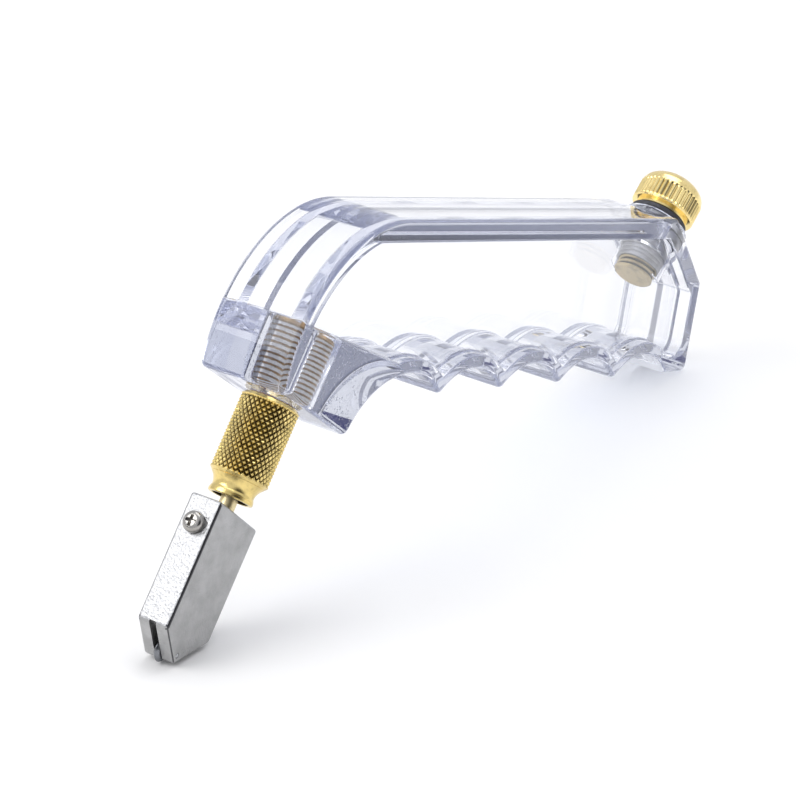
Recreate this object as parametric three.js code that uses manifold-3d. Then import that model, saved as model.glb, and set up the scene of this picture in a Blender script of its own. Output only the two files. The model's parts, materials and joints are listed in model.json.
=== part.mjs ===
// A pistol-grip, oil-fed glass cutter standing on its wheel and the heel of its grip.
// Two clear half shells are bonded on the centre plane and hold the cutting oil. A brass barrel
// screws into the nose and carries the sprung stem and the cutter head; a brass cap closes the
// filler at the rear. Millimetres, +Z up, head towards -X, the bond plane at Y = 0.
//
// Frames, outermost first:
//   root    the table under the part is Z = 0, the middle of the part's length is X = 0
//   grip    X runs rearward along the grip, Z square to it; Z = 0 passes under the finger crests
//   barrel  Z runs up the barrel axis from the nose face, X rearward across it
//   filler  Z runs out of the filler, from the rear facet

import * as THREE from "three";
import { mergeVertices } from "three/addons/utils/BufferGeometryUtils.js";
import Module from "manifold-3d";

const wasm = await Module();
wasm.setup();

const DEG = Math.PI / 180;

// Clearances
const SEAM_GAP = 0.3; // between the two half shells
const FIT_GAP = 0.3; // between pieces that are screwed, pressed or bonded together
const SEAT_GAP = 0.15; // under seals and flanges that rest on a flat seat
const RUNNING_GAP = 0.08; // radial, where one piece turns or slides in another
const THREAD_GAP = 0.12; // radial, cap thread in its bushing
const CUT_OVERRUN = 4; // how far a cutting solid runs past the faces it cuts

// Grip, seen from the side
const GRIP_WIDTH = 16.5;
const GRIP_HEIGHT = 30.3; // finger crests to the top face
const FRONT_RADIUS = 27.7; // round front of the grip
const FRONT_CENTRE_X = 13;
const NOSE_FACE_LENGTH = 23.6;
const NOSE_FILLET = 1.4;
const NOSE_REAR_ANGLE = 60 * DEG; // slope at which the first finger arch leaves the nose
const FINGER_RADIUS = 15;
const FINGER_PITCH = 21;
const FINGER_COUNT = 5;
const FIRST_CREST_X = 34.6;
const CREST_FILLET = 1.2;
const HEEL_LENGTH = 8.7; // last crest to the rear edge
const HEEL_FILLET = 1.5;
const REAR_VERTEX_HEIGHT = 17.8;
const REAR_LEAN = 2.1; // the rear edge leans forward by this over its height
const FACET_TILT = 38.5 * DEG; // rear facet, from the top face

// Grip walls
const TOP_FLANGE = 3.9;
const FRONT_FLANGE = 2.8;
const REAR_FLANGE = 4;
const LOWER_FLANGE = 2.6;
const RECESS_DEPTH = 2.2;
const PANEL_THICKNESS = 1.6;
const NOSE_BLOCK_HEIGHT = 12.9; // nose face to the top of the solid nose, along the barrel
const NOSE_BLOCK_TILT = 13.5 * DEG; // the block's top falls rearward by this

// Barrel
const BARREL_LEAN = 21.5 * DEG; // barrel axis, from square to the grip
const BARREL_SETBACK = 11.4; // front corner of the nose face to the barrel axis
const BARREL_RADIUS = 5;
const KNURL_LENGTH = 13.8;
const KNURL_CHAMFER = 0.5;
const NECK_LENGTH = 3.2;
const NECK_RADIUS = 3.6;
const RIM_RADIUS = 3.85;
const RIM_THICKNESS = 0.6;
const CUP_RADIUS = 3.1; // open end around the stem
const CUP_DEPTH = 2.6;
const SHANK_RADIUS = 3.9;
const SHANK_LENGTH = 12.2;

// Oil valve inside the barrel
const CHAMBER_RADIUS = 2.5;
const CHAMBER_DEPTH = 5; // below the nose face
const STEM_RADIUS = 1.45;
const STEM_BORE = 0.6;
const FLANGE_RADIUS = 2.3;
const FLANGE_THICKNESS = 1.2;
const SEAL_THICKNESS = 0.8;
const RETAINER_THICKNESS = 2.2;
const RETAINER_BORE = 1;
const SPRING_WIRE = 0.25;
const SPRING_TURNS = 7;
const VALVE_TRAVEL = 0.8; // stroke of the stem

// Cutter head; heights are measured down from the barrel's rim
const HEAD_THICKNESS = 6;
const HEAD_FRONT = 6.55; // barrel axis to the front face
const HEAD_REAR = 6.85;
const HEAD_CLEARANCE = 0.8; // left between rim and head when the stem is pressed right in
const HEAD_TOP_SLOPE = 1; // the head's top falls rearward by this
const HEAD_FRONT_LENGTH = 21.6;
const HEAD_REAR_LENGTH = 19.6;
const HEAD_POINT = 27.8;
const HEAD_POINT_SETBACK = -0.4;
const HEAD_BEVEL = 0.4;
const STEM_INSERTION = 9.5; // stem inside the head
const SCREW_HEIGHT = 6.2;
const SCREW_RADIUS = 1;
const SCREW_HEAD_RADIUS = 1.8;
const SCREW_HEAD_HEIGHT = 1.2;
const SCREW_RECESS = 0.6;
const SCREW_STANDOFF = 0.5; // left under the screw's head
const STEM_GROOVE_RADIUS = 0.95;

// Cutting wheel
const WHEEL_RADIUS = 2;
const WHEEL_THICKNESS = 1.1;
const WHEEL_EDGE_FLAT = 0.08;
const WHEEL_BEVEL = 0.5; // half the thickness, taken off over this much radius
const AXLE_RADIUS = 0.4;
const AXLE_ABOVE_POINT = 1.5;
const AXLE_SETBACK = 0.2; // the axle is in front of the head's point by this
const WHEEL_SIDE_GAP = 0.12;
const SLOT_TIP_GAP = 0.35;
const SLOT_NOTCH = 0.35; // the slot runs this far up the front face

// Filler and cap; heights are measured out from the rear facet
const FILLER_TILT = 34 * DEG; // filler axis, from square to the grip
const FILLER_FROM_VERTEX = 12.5; // along the facet
const BOSS_HEIGHT = 2.4;
const BOSS_DEPTH = 5; // below the facet, inside the grip
const BUSHING_REACH = 2.6; // out of the boss, into the oil space
const CAP_SHANK_RADIUS = 3.85;
const BUSHING_WALL = 0.93;
const BUSHING_TAIL_WALL = 0.53;
const BOSS_WALL = 1.2;
const CAP_SHANK_LENGTH = 14.6;
const CAP_SHANK_CHAMFER = 0.5;
const CAP_THREAD_PITCH = 1.25;
const CAP_THREAD_DEPTH = 0.45;
const CAP_THREAD_RUNOUT = 4;
const CAP_GASKET_THICKNESS = 1.1;
const CAP_GASKET_OVERHANG = 0.8; // past the bushing
const CAP_COLLAR_STEP = 1.35; // out from the shank
const CAP_COLLAR_HEIGHT = 0.9;
const CAP_RADIUS = 6.3;
const CAP_BAND_HEIGHT = 4.2;
const CAP_DOME_HEIGHT = 3.6;
const CAP_SERRATIONS = 40;
const CAP_SERRATION_DEPTH = 0.22;

// Facets of round shapes
const ARC_STEPS = 14;
const FILLET_STEPS = 5;
const ROUND_STEPS = 48;
const SMALL_ROUND_STEPS = 32;

const MATERIALS = {
  acrylic: { color: 0xe6ecf6, roughness: 0.06, metalness: 0, transparent: true, opacity: 0.35 },
  barrelBrass: { color: 0xc9a24a, roughness: 0.32, metalness: 1 },
  capBrass: { color: 0xe7c35c, roughness: 0.18, metalness: 1 },
  nickel: { color: 0xb9b9b6, roughness: 0.28, metalness: 1 },
  zinc: { color: 0xa6a7a8, roughness: 0.45, metalness: 1 },
  steel: { color: 0x9da0a3, roughness: 0.25, metalness: 1 },
  carbide: { color: 0x5c6066, roughness: 0.3, metalness: 1 },
  rubber: { color: 0x2c2d31, roughness: 0.7, metalness: 0 },
};

// --- Small geometry helpers ---------------------------------------------------------------

// A closed geometry as a manifold-3d solid.
function solid(geometry) {
  const bare = geometry.clone();
  bare.deleteAttribute("normal");
  bare.deleteAttribute("uv");
  const merged = mergeVertices(bare, 1e-4);
  return new wasm.Manifold(
    new wasm.Mesh({
      numProp: 3,
      vertProperties: merged.attributes.position.array,
      triVerts: new Uint32Array(merged.index.array),
    }),
  );
}

// A manifold-3d solid as a three.js geometry.
function geometryOf(body) {
  const mesh = body.getMesh();
  const geometry = new THREE.BufferGeometry();
  geometry.setAttribute("position", new THREE.BufferAttribute(mesh.vertProperties, 3));
  geometry.setIndex(new THREE.BufferAttribute(mesh.triVerts, 1));
  geometry.computeVertexNormals();
  return geometry;
}

// An outline in X and Z, extruded from Y = near to Y = far.
function slab(points, near, far) {
  const geometry = new THREE.ExtrudeGeometry(new THREE.Shape(points), {
    depth: far - near,
    bevelEnabled: false,
  });
  return geometry.rotateX(Math.PI / 2).translate(0, far, 0);
}

// A body of revolution about Z from [radius, height] pairs that run from the bottom up.
function turned(profile, steps = ROUND_STEPS) {
  const points = profile.map(([radius, height]) => new THREE.Vector2(radius, height));
  return new THREE.LatheGeometry(points, steps).rotateX(Math.PI / 2);
}

// A plain or bored round bar along Z.
function bar(radius, bottom, top, bore = 0, steps = ROUND_STEPS) {
  const profile = [[bore, bottom], [radius, bottom], [radius, top], [bore, top]];
  return turned(bore > 0 ? [...profile, profile[0]] : profile, steps);
}

// Points on an arc in X and Z, from one angle to another, both ends included.
function arc(x, z, radius, from, to, steps = ARC_STEPS) {
  return Array.from({ length: steps + 1 }, (_, i) => {
    const angle = from + ((to - from) * i) / steps;
    return new THREE.Vector2(x + radius * Math.cos(angle), z + radius * Math.sin(angle));
  });
}

// The point where two lines meet; each is a point and a direction angle.
function meet(a, aAngle, b, bAngle) {
  const ax = Math.cos(aAngle);
  const az = Math.sin(aAngle);
  const bx = Math.cos(bAngle);
  const bz = Math.sin(bAngle);
  const along = ((b.x - a.x) * bz - (b.y - a.y) * bx) / (ax * bz - az * bx);
  return new THREE.Vector2(a.x + ax * along, a.y + az * along);
}

// The corner between two directions of travel, rounded by a fillet.
function fillet(corner, before, after, radius) {
  const turn = Math.atan2(Math.sin(after - before), Math.cos(after - before));
  const side = Math.sign(turn);
  const reach = radius * Math.tan(Math.abs(turn) / 2);
  const startX = corner.x - reach * Math.cos(before);
  const startZ = corner.y - reach * Math.sin(before);
  const centreX = startX - side * radius * Math.sin(before);
  const centreZ = startZ + side * radius * Math.cos(before);
  const from = before - (side * Math.PI) / 2;
  return arc(centreX, centreZ, radius, from, from + turn, FILLET_STEPS);
}

// A named mesh with a material of its own.
function piece(name, geometry, material) {
  const mesh = new THREE.Mesh(geometry, new THREE.MeshStandardMaterial(MATERIALS[material]));
  mesh.name = name;
  return mesh;
}

// --- Places that follow from the sizes above ----------------------------------------------

const frontCentre = new THREE.Vector2(FRONT_CENTRE_X, GRIP_HEIGHT - FRONT_RADIUS);
const noseFront = new THREE.Vector2(FRONT_CENTRE_X - FRONT_RADIUS, frontCentre.y);
const noseRear = new THREE.Vector2(
  noseFront.x + NOSE_FACE_LENGTH * Math.cos(BARREL_LEAN),
  noseFront.y - NOSE_FACE_LENGTH * Math.sin(BARREL_LEAN),
);
const lastCrestX = FIRST_CREST_X + (FINGER_COUNT - 1) * FINGER_PITCH;
const rearFoot = new THREE.Vector2(lastCrestX + HEEL_LENGTH, 0);
const rearVertex = new THREE.Vector2(rearFoot.x - REAR_LEAN, REAR_VERTEX_HEIGHT);
const rearAngle = Math.atan2(rearVertex.y - rearFoot.y, rearVertex.x - rearFoot.x);
const facetAngle = Math.PI - FACET_TILT; // direction of travel up the facet
const panelOuter = GRIP_WIDTH / 2 - RECESS_DEPTH;
const panelInner = panelOuter - PANEL_THICKNESS;

// Each finger circle touches the crest fillets on both sides, whose lowest points are at Z = 0.
const crestReach = FINGER_RADIUS + CREST_FILLET;
const fingerDrop = Math.sqrt(crestReach ** 2 - (FINGER_PITCH / 2) ** 2);
const fingerZ = CREST_FILLET - fingerDrop;
const crestHalfAngle = Math.atan2(FINGER_PITCH / 2, fingerDrop);
const fingerX = (k) => FIRST_CREST_X + (k - 0.5) * FINGER_PITCH;

const barrelBase = new THREE.Vector2(
  noseFront.x + BARREL_SETBACK * Math.cos(BARREL_LEAN),
  noseFront.y - BARREL_SETBACK * Math.sin(BARREL_LEAN),
);
const knurlTop = -SEAT_GAP;
const rimZ = knurlTop - KNURL_LENGTH - NECK_LENGTH;

const fillerBase = new THREE.Vector2(
  rearVertex.x + FILLER_FROM_VERTEX * Math.cos(facetAngle),
  rearVertex.y + FILLER_FROM_VERTEX * Math.sin(facetAngle),
);

const headTopFront = VALVE_TRAVEL + HEAD_CLEARANCE;
const headTopRear = headTopFront + HEAD_TOP_SLOPE;
const axleX = HEAD_POINT_SETBACK - AXLE_SETBACK;
const axleZ = rimZ - HEAD_POINT + AXLE_ABOVE_POINT;

// The frames of the barrel and of the filler, inside the grip's frame.
const barrelFrame = new THREE.Matrix4()
  .makeRotationY(BARREL_LEAN)
  .setPosition(barrelBase.x, 0, barrelBase.y);
const fillerFrame = new THREE.Matrix4()
  .makeRotationY(FILLER_TILT)
  .setPosition(fillerBase.x, 0, fillerBase.y);

// --- Grip ---------------------------------------------------------------------------------

// The finger arches from the nose to the heel, at a distance into the wall.
function fingerArches(depth) {
  const points = [];
  const radius = FINGER_RADIUS + depth;
  const valley = Math.acos(FINGER_PITCH / 2 / radius);
  for (let k = 0; k < FINGER_COUNT; k += 1) {
    const last = k === FINGER_COUNT - 1;
    const leave = depth > 0 ? valley : Math.PI / 2 - crestHalfAngle;
    const enter = k === 0 ? Math.PI - noseEntry(radius) : Math.PI - leave;
    const spread = k === 0 ? noseSpread() : 1;
    points.push(...arc(fingerX(k), fingerZ, radius, enter, leave).map((point) => (
      point.x < fingerX(k) ? point.setX(fingerX(k) + (point.x - fingerX(k)) * spread) : point
    )));
    if (depth === 0) {
      const crestX = FIRST_CREST_X + k * FINGER_PITCH;
      const down = -Math.PI / 2;
      const until = last ? down : down + crestHalfAngle;
      points.push(...arc(crestX, CREST_FILLET, CREST_FILLET, down - crestHalfAngle, until, FILLET_STEPS));
    }
  }
  return points;
}

// The angle, from level, at which the first finger circle meets the back of the nose.
function noseEntry(radius) {
  return Math.asin((noseRearZ() - fingerZ) / radius);
}

// Height at which the fillet of the nose's rear corner has run into the first finger arch.
function noseRearZ() {
  return noseRear.y + NOSE_FILLET;
}

// How far the front half of the first finger arch is stretched, so that it meets that fillet.
function noseSpread() {
  const meetX = noseRear.x + NOSE_FILLET / Math.tan(NOSE_REAR_ANGLE);
  return (fingerX(0) - meetX) / (FINGER_RADIUS * Math.cos(noseEntry(FINGER_RADIUS)));
}

// The side outline of the whole grip, anticlockwise from the front of the nose face.
function gripOutline() {
  const top = new THREE.Vector2(0, GRIP_HEIGHT);
  const facetTop = meet(rearVertex, facetAngle, top, 0);
  return [
    ...fillet(noseFront, -Math.PI / 2, -BARREL_LEAN, NOSE_FILLET),
    ...fillet(noseRear, -BARREL_LEAN, NOSE_REAR_ANGLE, NOSE_FILLET),
    ...fingerArches(0).slice(1),
    ...fillet(rearFoot, 0, rearAngle, HEEL_FILLET),
    ...fillet(rearVertex, rearAngle, facetAngle, HEEL_FILLET),
    ...fillet(facetTop, facetAngle, Math.PI, HEEL_FILLET),
    ...arc(frontCentre.x, frontCentre.y, FRONT_RADIUS, Math.PI / 2, Math.PI).slice(0, -1),
  ];
}

// The outline of the side windows and of the oil space behind them: the grip less its flanges.
function windowOutline() {
  const inner = FRONT_RADIUS - FRONT_FLANGE;
  const topZ = GRIP_HEIGHT - TOP_FLANGE;
  const rear = new THREE.Vector2(rearFoot.x - REAR_FLANGE, 0);
  const facet = new THREE.Vector2(
    rearVertex.x - REAR_FLANGE * Math.sin(FACET_TILT),
    rearVertex.y - REAR_FLANGE * Math.cos(FACET_TILT),
  );
  const top = new THREE.Vector2(0, topZ);
  const lower = new THREE.Vector2(0, LOWER_FLANGE + CREST_FILLET / 2);
  const frontTop = Math.asin((topZ - frontCentre.y) / inner);
  return [
    ...fingerArches(LOWER_FLANGE),
    ...fillet(meet(lower, 0, rear, rearAngle), 0, rearAngle, 2 * HEEL_FILLET),
    ...fillet(meet(rear, rearAngle, facet, facetAngle), rearAngle, facetAngle, HEEL_FILLET),
    ...fillet(meet(facet, facetAngle, top, 0), facetAngle, Math.PI, HEEL_FILLET),
    ...arc(frontCentre.x, frontCentre.y, inner, Math.PI - frontTop, Math.PI),
    new THREE.Vector2(frontCentre.x - inner, noseRearZ()),
  ];
}

// The solid nose under the windows, which the barrel screws into.
function noseBlock(near, far) {
  const topX = barrelBase.x + NOSE_BLOCK_HEIGHT * Math.sin(BARREL_LEAN);
  const topZ = barrelBase.y + NOSE_BLOCK_HEIGHT * Math.cos(BARREL_LEAN);
  const slope = Math.tan(NOSE_BLOCK_TILT);
  const frontX = noseFront.x - CUT_OVERRUN;
  const rearX = FIRST_CREST_X - FINGER_PITCH / 4;
  const bottomZ = noseRearZ() - 2 * CUT_OVERRUN;
  const outline = [
    new THREE.Vector2(frontX, bottomZ),
    new THREE.Vector2(rearX, bottomZ),
    new THREE.Vector2(rearX, topZ - (rearX - topX) * slope),
    new THREE.Vector2(frontX, topZ - (frontX - topX) * slope),
  ];
  return solid(slab(outline, near, far));
}

// One half shell; side is -1 for the left half and 1 for the right half.
function gripHalf(side) {
  const span = (inner, outer) => (side > 0 ? [inner, outer] : [-outer, -inner]);
  const shell = solid(slab(gripOutline(), ...span(SEAM_GAP / 2, GRIP_WIDTH / 2)));
  const bossBore = bushingRadius + FIT_GAP;
  const boss = solid(
    bar(bossBore + BOSS_WALL, -BOSS_DEPTH, BOSS_HEIGHT).applyMatrix4(fillerFrame),
  );
  const sideSpace = solid(slab(
    [
      new THREE.Vector2(noseFront.x, -GRIP_HEIGHT),
      new THREE.Vector2(rearFoot.x + GRIP_HEIGHT, -GRIP_HEIGHT),
      new THREE.Vector2(rearFoot.x + GRIP_HEIGHT, 2 * GRIP_HEIGHT),
      new THREE.Vector2(noseFront.x, 2 * GRIP_HEIGHT),
    ],
    ...span(SEAM_GAP / 2, GRIP_WIDTH / 2),
  ));
  const window = solid(slab(windowOutline(), ...span(panelOuter, GRIP_WIDTH / 2 + CUT_OVERRUN)));
  const oilSpace = solid(slab(windowOutline(), ...span(-CUT_OVERRUN, panelInner)));
  const block = noseBlock(-GRIP_WIDTH, GRIP_WIDTH);
  const barrelBore = solid(
    bar(SHANK_RADIUS + FIT_GAP, -CUT_OVERRUN, NOSE_BLOCK_HEIGHT + CUT_OVERRUN)
      .applyMatrix4(barrelFrame),
  );
  const fillerBore = solid(
    bar(bossBore, -BOSS_DEPTH - CUT_OVERRUN, BOSS_HEIGHT + CUT_OVERRUN)
      .applyMatrix4(fillerFrame),
  );
  const shankRoom = solid(
    bar(CAP_SHANK_RADIUS + FIT_GAP, capShankEnd - FIT_GAP, 0).applyMatrix4(fillerFrame),
  );
  const hollow = oilSpace.subtract(block).subtract(boss);
  const body = shell.add(boss.intersect(sideSpace))
    .subtract(window.subtract(block))
    .subtract(hollow)
    .subtract(barrelBore)
    .subtract(fillerBore)
    .subtract(shankRoom);
  return geometryOf(body);
}

// --- Barrel and oil valve -----------------------------------------------------------------

const chamberFloor = -CHAMBER_DEPTH;
const sealBottom = chamberFloor + SEAT_GAP;
const flangeBottom = sealBottom + SEAL_THICKNESS + SEAT_GAP;
const flangeTop = flangeBottom + FLANGE_THICKNESS;
const retainerBottom = SHANK_LENGTH - RETAINER_THICKNESS;
const stemBore = STEM_RADIUS + RUNNING_GAP;

// Brass barrel: threaded shank, grip knurl, waisted neck and cupped rim, bored through.
function barrelGeometry() {
  const neckTop = knurlTop - KNURL_LENGTH;
  const waistZ = rimZ + 2 * RIM_THICKNESS;
  const profile = [
    [CUP_RADIUS, rimZ],
    [RIM_RADIUS - KNURL_CHAMFER / 4, rimZ],
    [RIM_RADIUS, rimZ + KNURL_CHAMFER / 4],
    [RIM_RADIUS, rimZ + RIM_THICKNESS],
    [NECK_RADIUS, waistZ],
    [(3 * NECK_RADIUS + BARREL_RADIUS) / 4, (waistZ + neckTop) / 2],
    [BARREL_RADIUS - KNURL_CHAMFER, neckTop],
    [BARREL_RADIUS, neckTop + KNURL_CHAMFER],
    [BARREL_RADIUS, knurlTop - KNURL_CHAMFER],
    [BARREL_RADIUS - KNURL_CHAMFER, knurlTop],
    [SHANK_RADIUS, knurlTop],
    [SHANK_RADIUS, SHANK_LENGTH - KNURL_CHAMFER],
    [SHANK_RADIUS - KNURL_CHAMFER, SHANK_LENGTH],
    [CHAMBER_RADIUS, SHANK_LENGTH],
    [CHAMBER_RADIUS, chamberFloor],
    [stemBore, chamberFloor],
    [stemBore, rimZ + CUP_DEPTH],
    [CUP_RADIUS, rimZ + CUP_DEPTH],
    [CUP_RADIUS, rimZ],
  ];
  return turned(profile);
}

// Tubular stem: valve flange in the chamber, groove for the head screw at its foot.
function stemGeometry() {
  const foot = rimZ - headTopFront - STEM_INSERTION;
  const grooveZ = rimZ - SCREW_HEIGHT;
  const grooveHalf = SCREW_RADIUS + RUNNING_GAP;
  const profile = [
    [STEM_BORE, foot],
    [STEM_RADIUS, foot],
    [STEM_RADIUS, grooveZ - grooveHalf],
    [STEM_GROOVE_RADIUS, grooveZ - grooveHalf],
    [STEM_GROOVE_RADIUS, grooveZ + grooveHalf],
    [STEM_RADIUS, grooveZ + grooveHalf],
    [STEM_RADIUS, flangeBottom],
    [FLANGE_RADIUS, flangeBottom],
    [FLANGE_RADIUS, flangeTop],
    [STEM_BORE, flangeTop],
    [STEM_BORE, foot],
  ];
  return turned(profile, SMALL_ROUND_STEPS);
}

// Seal ring under the valve flange, which closes the oil way when the head hangs free.
function stemSealGeometry() {
  const inner = STEM_RADIUS + RUNNING_GAP;
  return bar(FLANGE_RADIUS, sealBottom, sealBottom + SEAL_THICKNESS, inner, SMALL_ROUND_STEPS);
}

// Bored plug screwed into the shank's end, which backs the spring.
function retainerGeometry() {
  const radius = CHAMBER_RADIUS - RUNNING_GAP;
  const top = SHANK_LENGTH - KNURL_CHAMFER;
  return bar(radius, retainerBottom, top, RETAINER_BORE, SMALL_ROUND_STEPS);
}

// The coil's centre line, from the flange to the retainer.
class SpringPath extends THREE.Curve {
  getPoint(t, target = new THREE.Vector3()) {
    const radius = FLANGE_RADIUS - 2 * SPRING_WIRE;
    const low = flangeTop + SPRING_WIRE + SEAT_GAP;
    const high = retainerBottom - SPRING_WIRE - SEAT_GAP;
    const angle = 2 * Math.PI * SPRING_TURNS * t;
    return target.set(radius * Math.cos(angle), radius * Math.sin(angle), low + (high - low) * t);
  }
}

// Compression spring that pushes the stem down.
function springGeometry() {
  const sides = Array.from({ length: 6 }, (_, i) => {
    const angle = (i * Math.PI) / 3;
    return new THREE.Vector2(SPRING_WIRE * Math.cos(angle), SPRING_WIRE * Math.sin(angle));
  });
  return new THREE.ExtrudeGeometry(new THREE.Shape(sides), {
    steps: SPRING_TURNS * 12,
    extrudePath: new SpringPath(),
  });
}

// --- Cutter head --------------------------------------------------------------------------

const slotHalf = WHEEL_THICKNESS / 2 + WHEEL_SIDE_GAP;

// Round bar across the head, through the axle's place.
function crossBar(radius, half, bore = 0) {
  return bar(radius, -half, half, bore, SMALL_ROUND_STEPS)
    .rotateX(Math.PI / 2)
    .translate(axleX, 0, axleZ);
}

// Round bar into the head from its front face, at the screw's height.
function frontBar(radius, from, to, steps = SMALL_ROUND_STEPS) {
  return bar(radius, from, to, 0, steps)
    .rotateY(Math.PI / 2)
    .translate(-HEAD_FRONT, 0, rimZ - SCREW_HEIGHT);
}

// Die-cast head: five-sided plate with a stem hole, a wheel slot and a screw hole.
function headGeometry() {
  const outline = [
    new THREE.Vector2(-HEAD_FRONT, rimZ - headTopFront),
    new THREE.Vector2(-HEAD_FRONT, rimZ - headTopFront - HEAD_FRONT_LENGTH),
    new THREE.Vector2(HEAD_POINT_SETBACK, rimZ - HEAD_POINT),
    new THREE.Vector2(HEAD_REAR, rimZ - headTopRear - HEAD_REAR_LENGTH),
    new THREE.Vector2(HEAD_REAR, rimZ - headTopRear),
  ];
  const plate = new THREE.ExtrudeGeometry(new THREE.Shape(outline), {
    depth: HEAD_THICKNESS - 2 * HEAD_BEVEL,
    bevelThickness: HEAD_BEVEL,
    bevelSize: HEAD_BEVEL,
    bevelOffset: -HEAD_BEVEL,
    bevelSegments: 2,
  }).rotateX(Math.PI / 2).translate(0, HEAD_THICKNESS / 2 - HEAD_BEVEL, 0);
  const stemHole = bar(
    stemBore,
    rimZ - headTopFront - STEM_INSERTION - FIT_GAP,
    rimZ + CUT_OVERRUN,
    0,
    SMALL_ROUND_STEPS,
  );
  const slotReach = WHEEL_RADIUS + SLOT_TIP_GAP;
  const notchZ = rimZ - headTopFront - HEAD_FRONT_LENGTH + SLOT_NOTCH;
  const slot = slab(
    [
      new THREE.Vector2(-HEAD_FRONT - CUT_OVERRUN, axleZ - HEAD_POINT),
      new THREE.Vector2(axleX + slotReach, axleZ - HEAD_POINT),
      new THREE.Vector2(axleX + slotReach, axleZ),
      ...arc(axleX, axleZ, slotReach, 0, Math.PI / 2, FILLET_STEPS),
      new THREE.Vector2(-HEAD_FRONT, notchZ),
      new THREE.Vector2(-HEAD_FRONT - CUT_OVERRUN, notchZ),
    ].filter((point, i, all) => i === 0 || point.distanceTo(all[i - 1]) > SEAT_GAP / 10),
    -slotHalf,
    slotHalf,
  );
  const body = solid(plate)
    .subtract(solid(stemHole))
    .subtract(solid(slot))
    .subtract(solid(crossBar(AXLE_RADIUS + RUNNING_GAP / 2, HEAD_THICKNESS)))
    .subtract(solid(frontBar(SCREW_RADIUS + RUNNING_GAP, -CUT_OVERRUN, HEAD_FRONT)));
  return geometryOf(body);
}

// Pan-head screw whose tip runs in the stem's groove, so the head can swivel but not drop.
function headScrewGeometry() {
  const tip = HEAD_FRONT - STEM_GROOVE_RADIUS - 2 * RUNNING_GAP;
  const seat = -SCREW_STANDOFF;
  const profile = [
    [0, seat - SCREW_HEAD_HEIGHT],
    [SCREW_HEAD_RADIUS * 0.62, seat - SCREW_HEAD_HEIGHT * 0.92],
    [SCREW_HEAD_RADIUS * 0.92, seat - SCREW_HEAD_HEIGHT * 0.6],
    [SCREW_HEAD_RADIUS, seat - SCREW_HEAD_HEIGHT * 0.25],
    [SCREW_HEAD_RADIUS, seat],
    [SCREW_RADIUS, seat],
    [SCREW_RADIUS, tip],
    [0, tip],
  ];
  const half = SCREW_RECESS / 2;
  const reach = SCREW_HEAD_RADIUS * 0.62;
  const blade = new THREE.BoxGeometry(2 * reach, 2 * half, SCREW_HEAD_HEIGHT)
    .translate(0, 0, seat - SCREW_HEAD_HEIGHT);
  const cross = blade.clone().rotateZ(Math.PI / 2);
  const screw = solid(turned(profile, SMALL_ROUND_STEPS))
    .subtract(solid(blade))
    .subtract(solid(cross));
  return geometryOf(screw)
    .rotateY(Math.PI / 2)
    .translate(-HEAD_FRONT, 0, rimZ - SCREW_HEIGHT);
}

// Carbide wheel with a bevelled cutting edge.
function wheelGeometry() {
  const half = WHEEL_THICKNESS / 2;
  const bore = AXLE_RADIUS + RUNNING_GAP;
  const profile = [
    [bore, -half],
    [WHEEL_RADIUS - WHEEL_BEVEL, -half],
    [WHEEL_RADIUS, -WHEEL_EDGE_FLAT / 2],
    [WHEEL_RADIUS, WHEEL_EDGE_FLAT / 2],
    [WHEEL_RADIUS - WHEEL_BEVEL, half],
    [bore, half],
    [bore, -half],
  ];
  return turned(profile).rotateX(Math.PI / 2).translate(axleX, 0, axleZ);
}

// --- Filler -------------------------------------------------------------------------------

const gasketBottom = BOSS_HEIGHT + SEAT_GAP;
const collarBottom = gasketBottom + CAP_GASKET_THICKNESS + SEAT_GAP;
const bandBottom = collarBottom + CAP_COLLAR_HEIGHT;

const capShankEnd = bandBottom - CAP_SHANK_LENGTH;
const bushingBore = CAP_SHANK_RADIUS + THREAD_GAP;
const bushingRadius = bushingBore + BUSHING_WALL;

// Nickel bushing in the boss, which the cap screws into.
function bushingGeometry() {
  const tail = -BOSS_DEPTH - BUSHING_REACH;
  const tailRadius = bushingBore + BUSHING_TAIL_WALL;
  const profile = [
    [bushingBore, tail],
    [tailRadius, tail],
    [tailRadius, -BOSS_DEPTH],
    [bushingRadius, -BOSS_DEPTH],
    [bushingRadius, BOSS_HEIGHT],
    [bushingBore, BOSS_HEIGHT],
    [bushingBore, tail],
  ];
  return turned(profile);
}

// Flat rubber ring under the cap.
function capGasketGeometry() {
  const radius = bushingRadius + CAP_GASKET_OVERHANG;
  return bar(radius, gasketBottom, gasketBottom + CAP_GASKET_THICKNESS, bushingBore);
}

// Straight-knurled band of the cap: an outline with one groove for each serration.
function serratedBand() {
  const points = [];
  for (let k = 0; k < CAP_SERRATIONS; k += 1) {
    const angle = (2 * Math.PI * k) / CAP_SERRATIONS;
    const half = Math.PI / CAP_SERRATIONS;
    const root = CAP_RADIUS - CAP_SERRATION_DEPTH;
    points.push(new THREE.Vector2(CAP_RADIUS * Math.cos(angle), CAP_RADIUS * Math.sin(angle)));
    points.push(new THREE.Vector2(root * Math.cos(angle + half), root * Math.sin(angle + half)));
  }
  return new THREE.ExtrudeGeometry(new THREE.Shape(points), {
    depth: CAP_BAND_HEIGHT,
    bevelEnabled: false,
  }).translate(0, 0, bandBottom);
}

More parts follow.
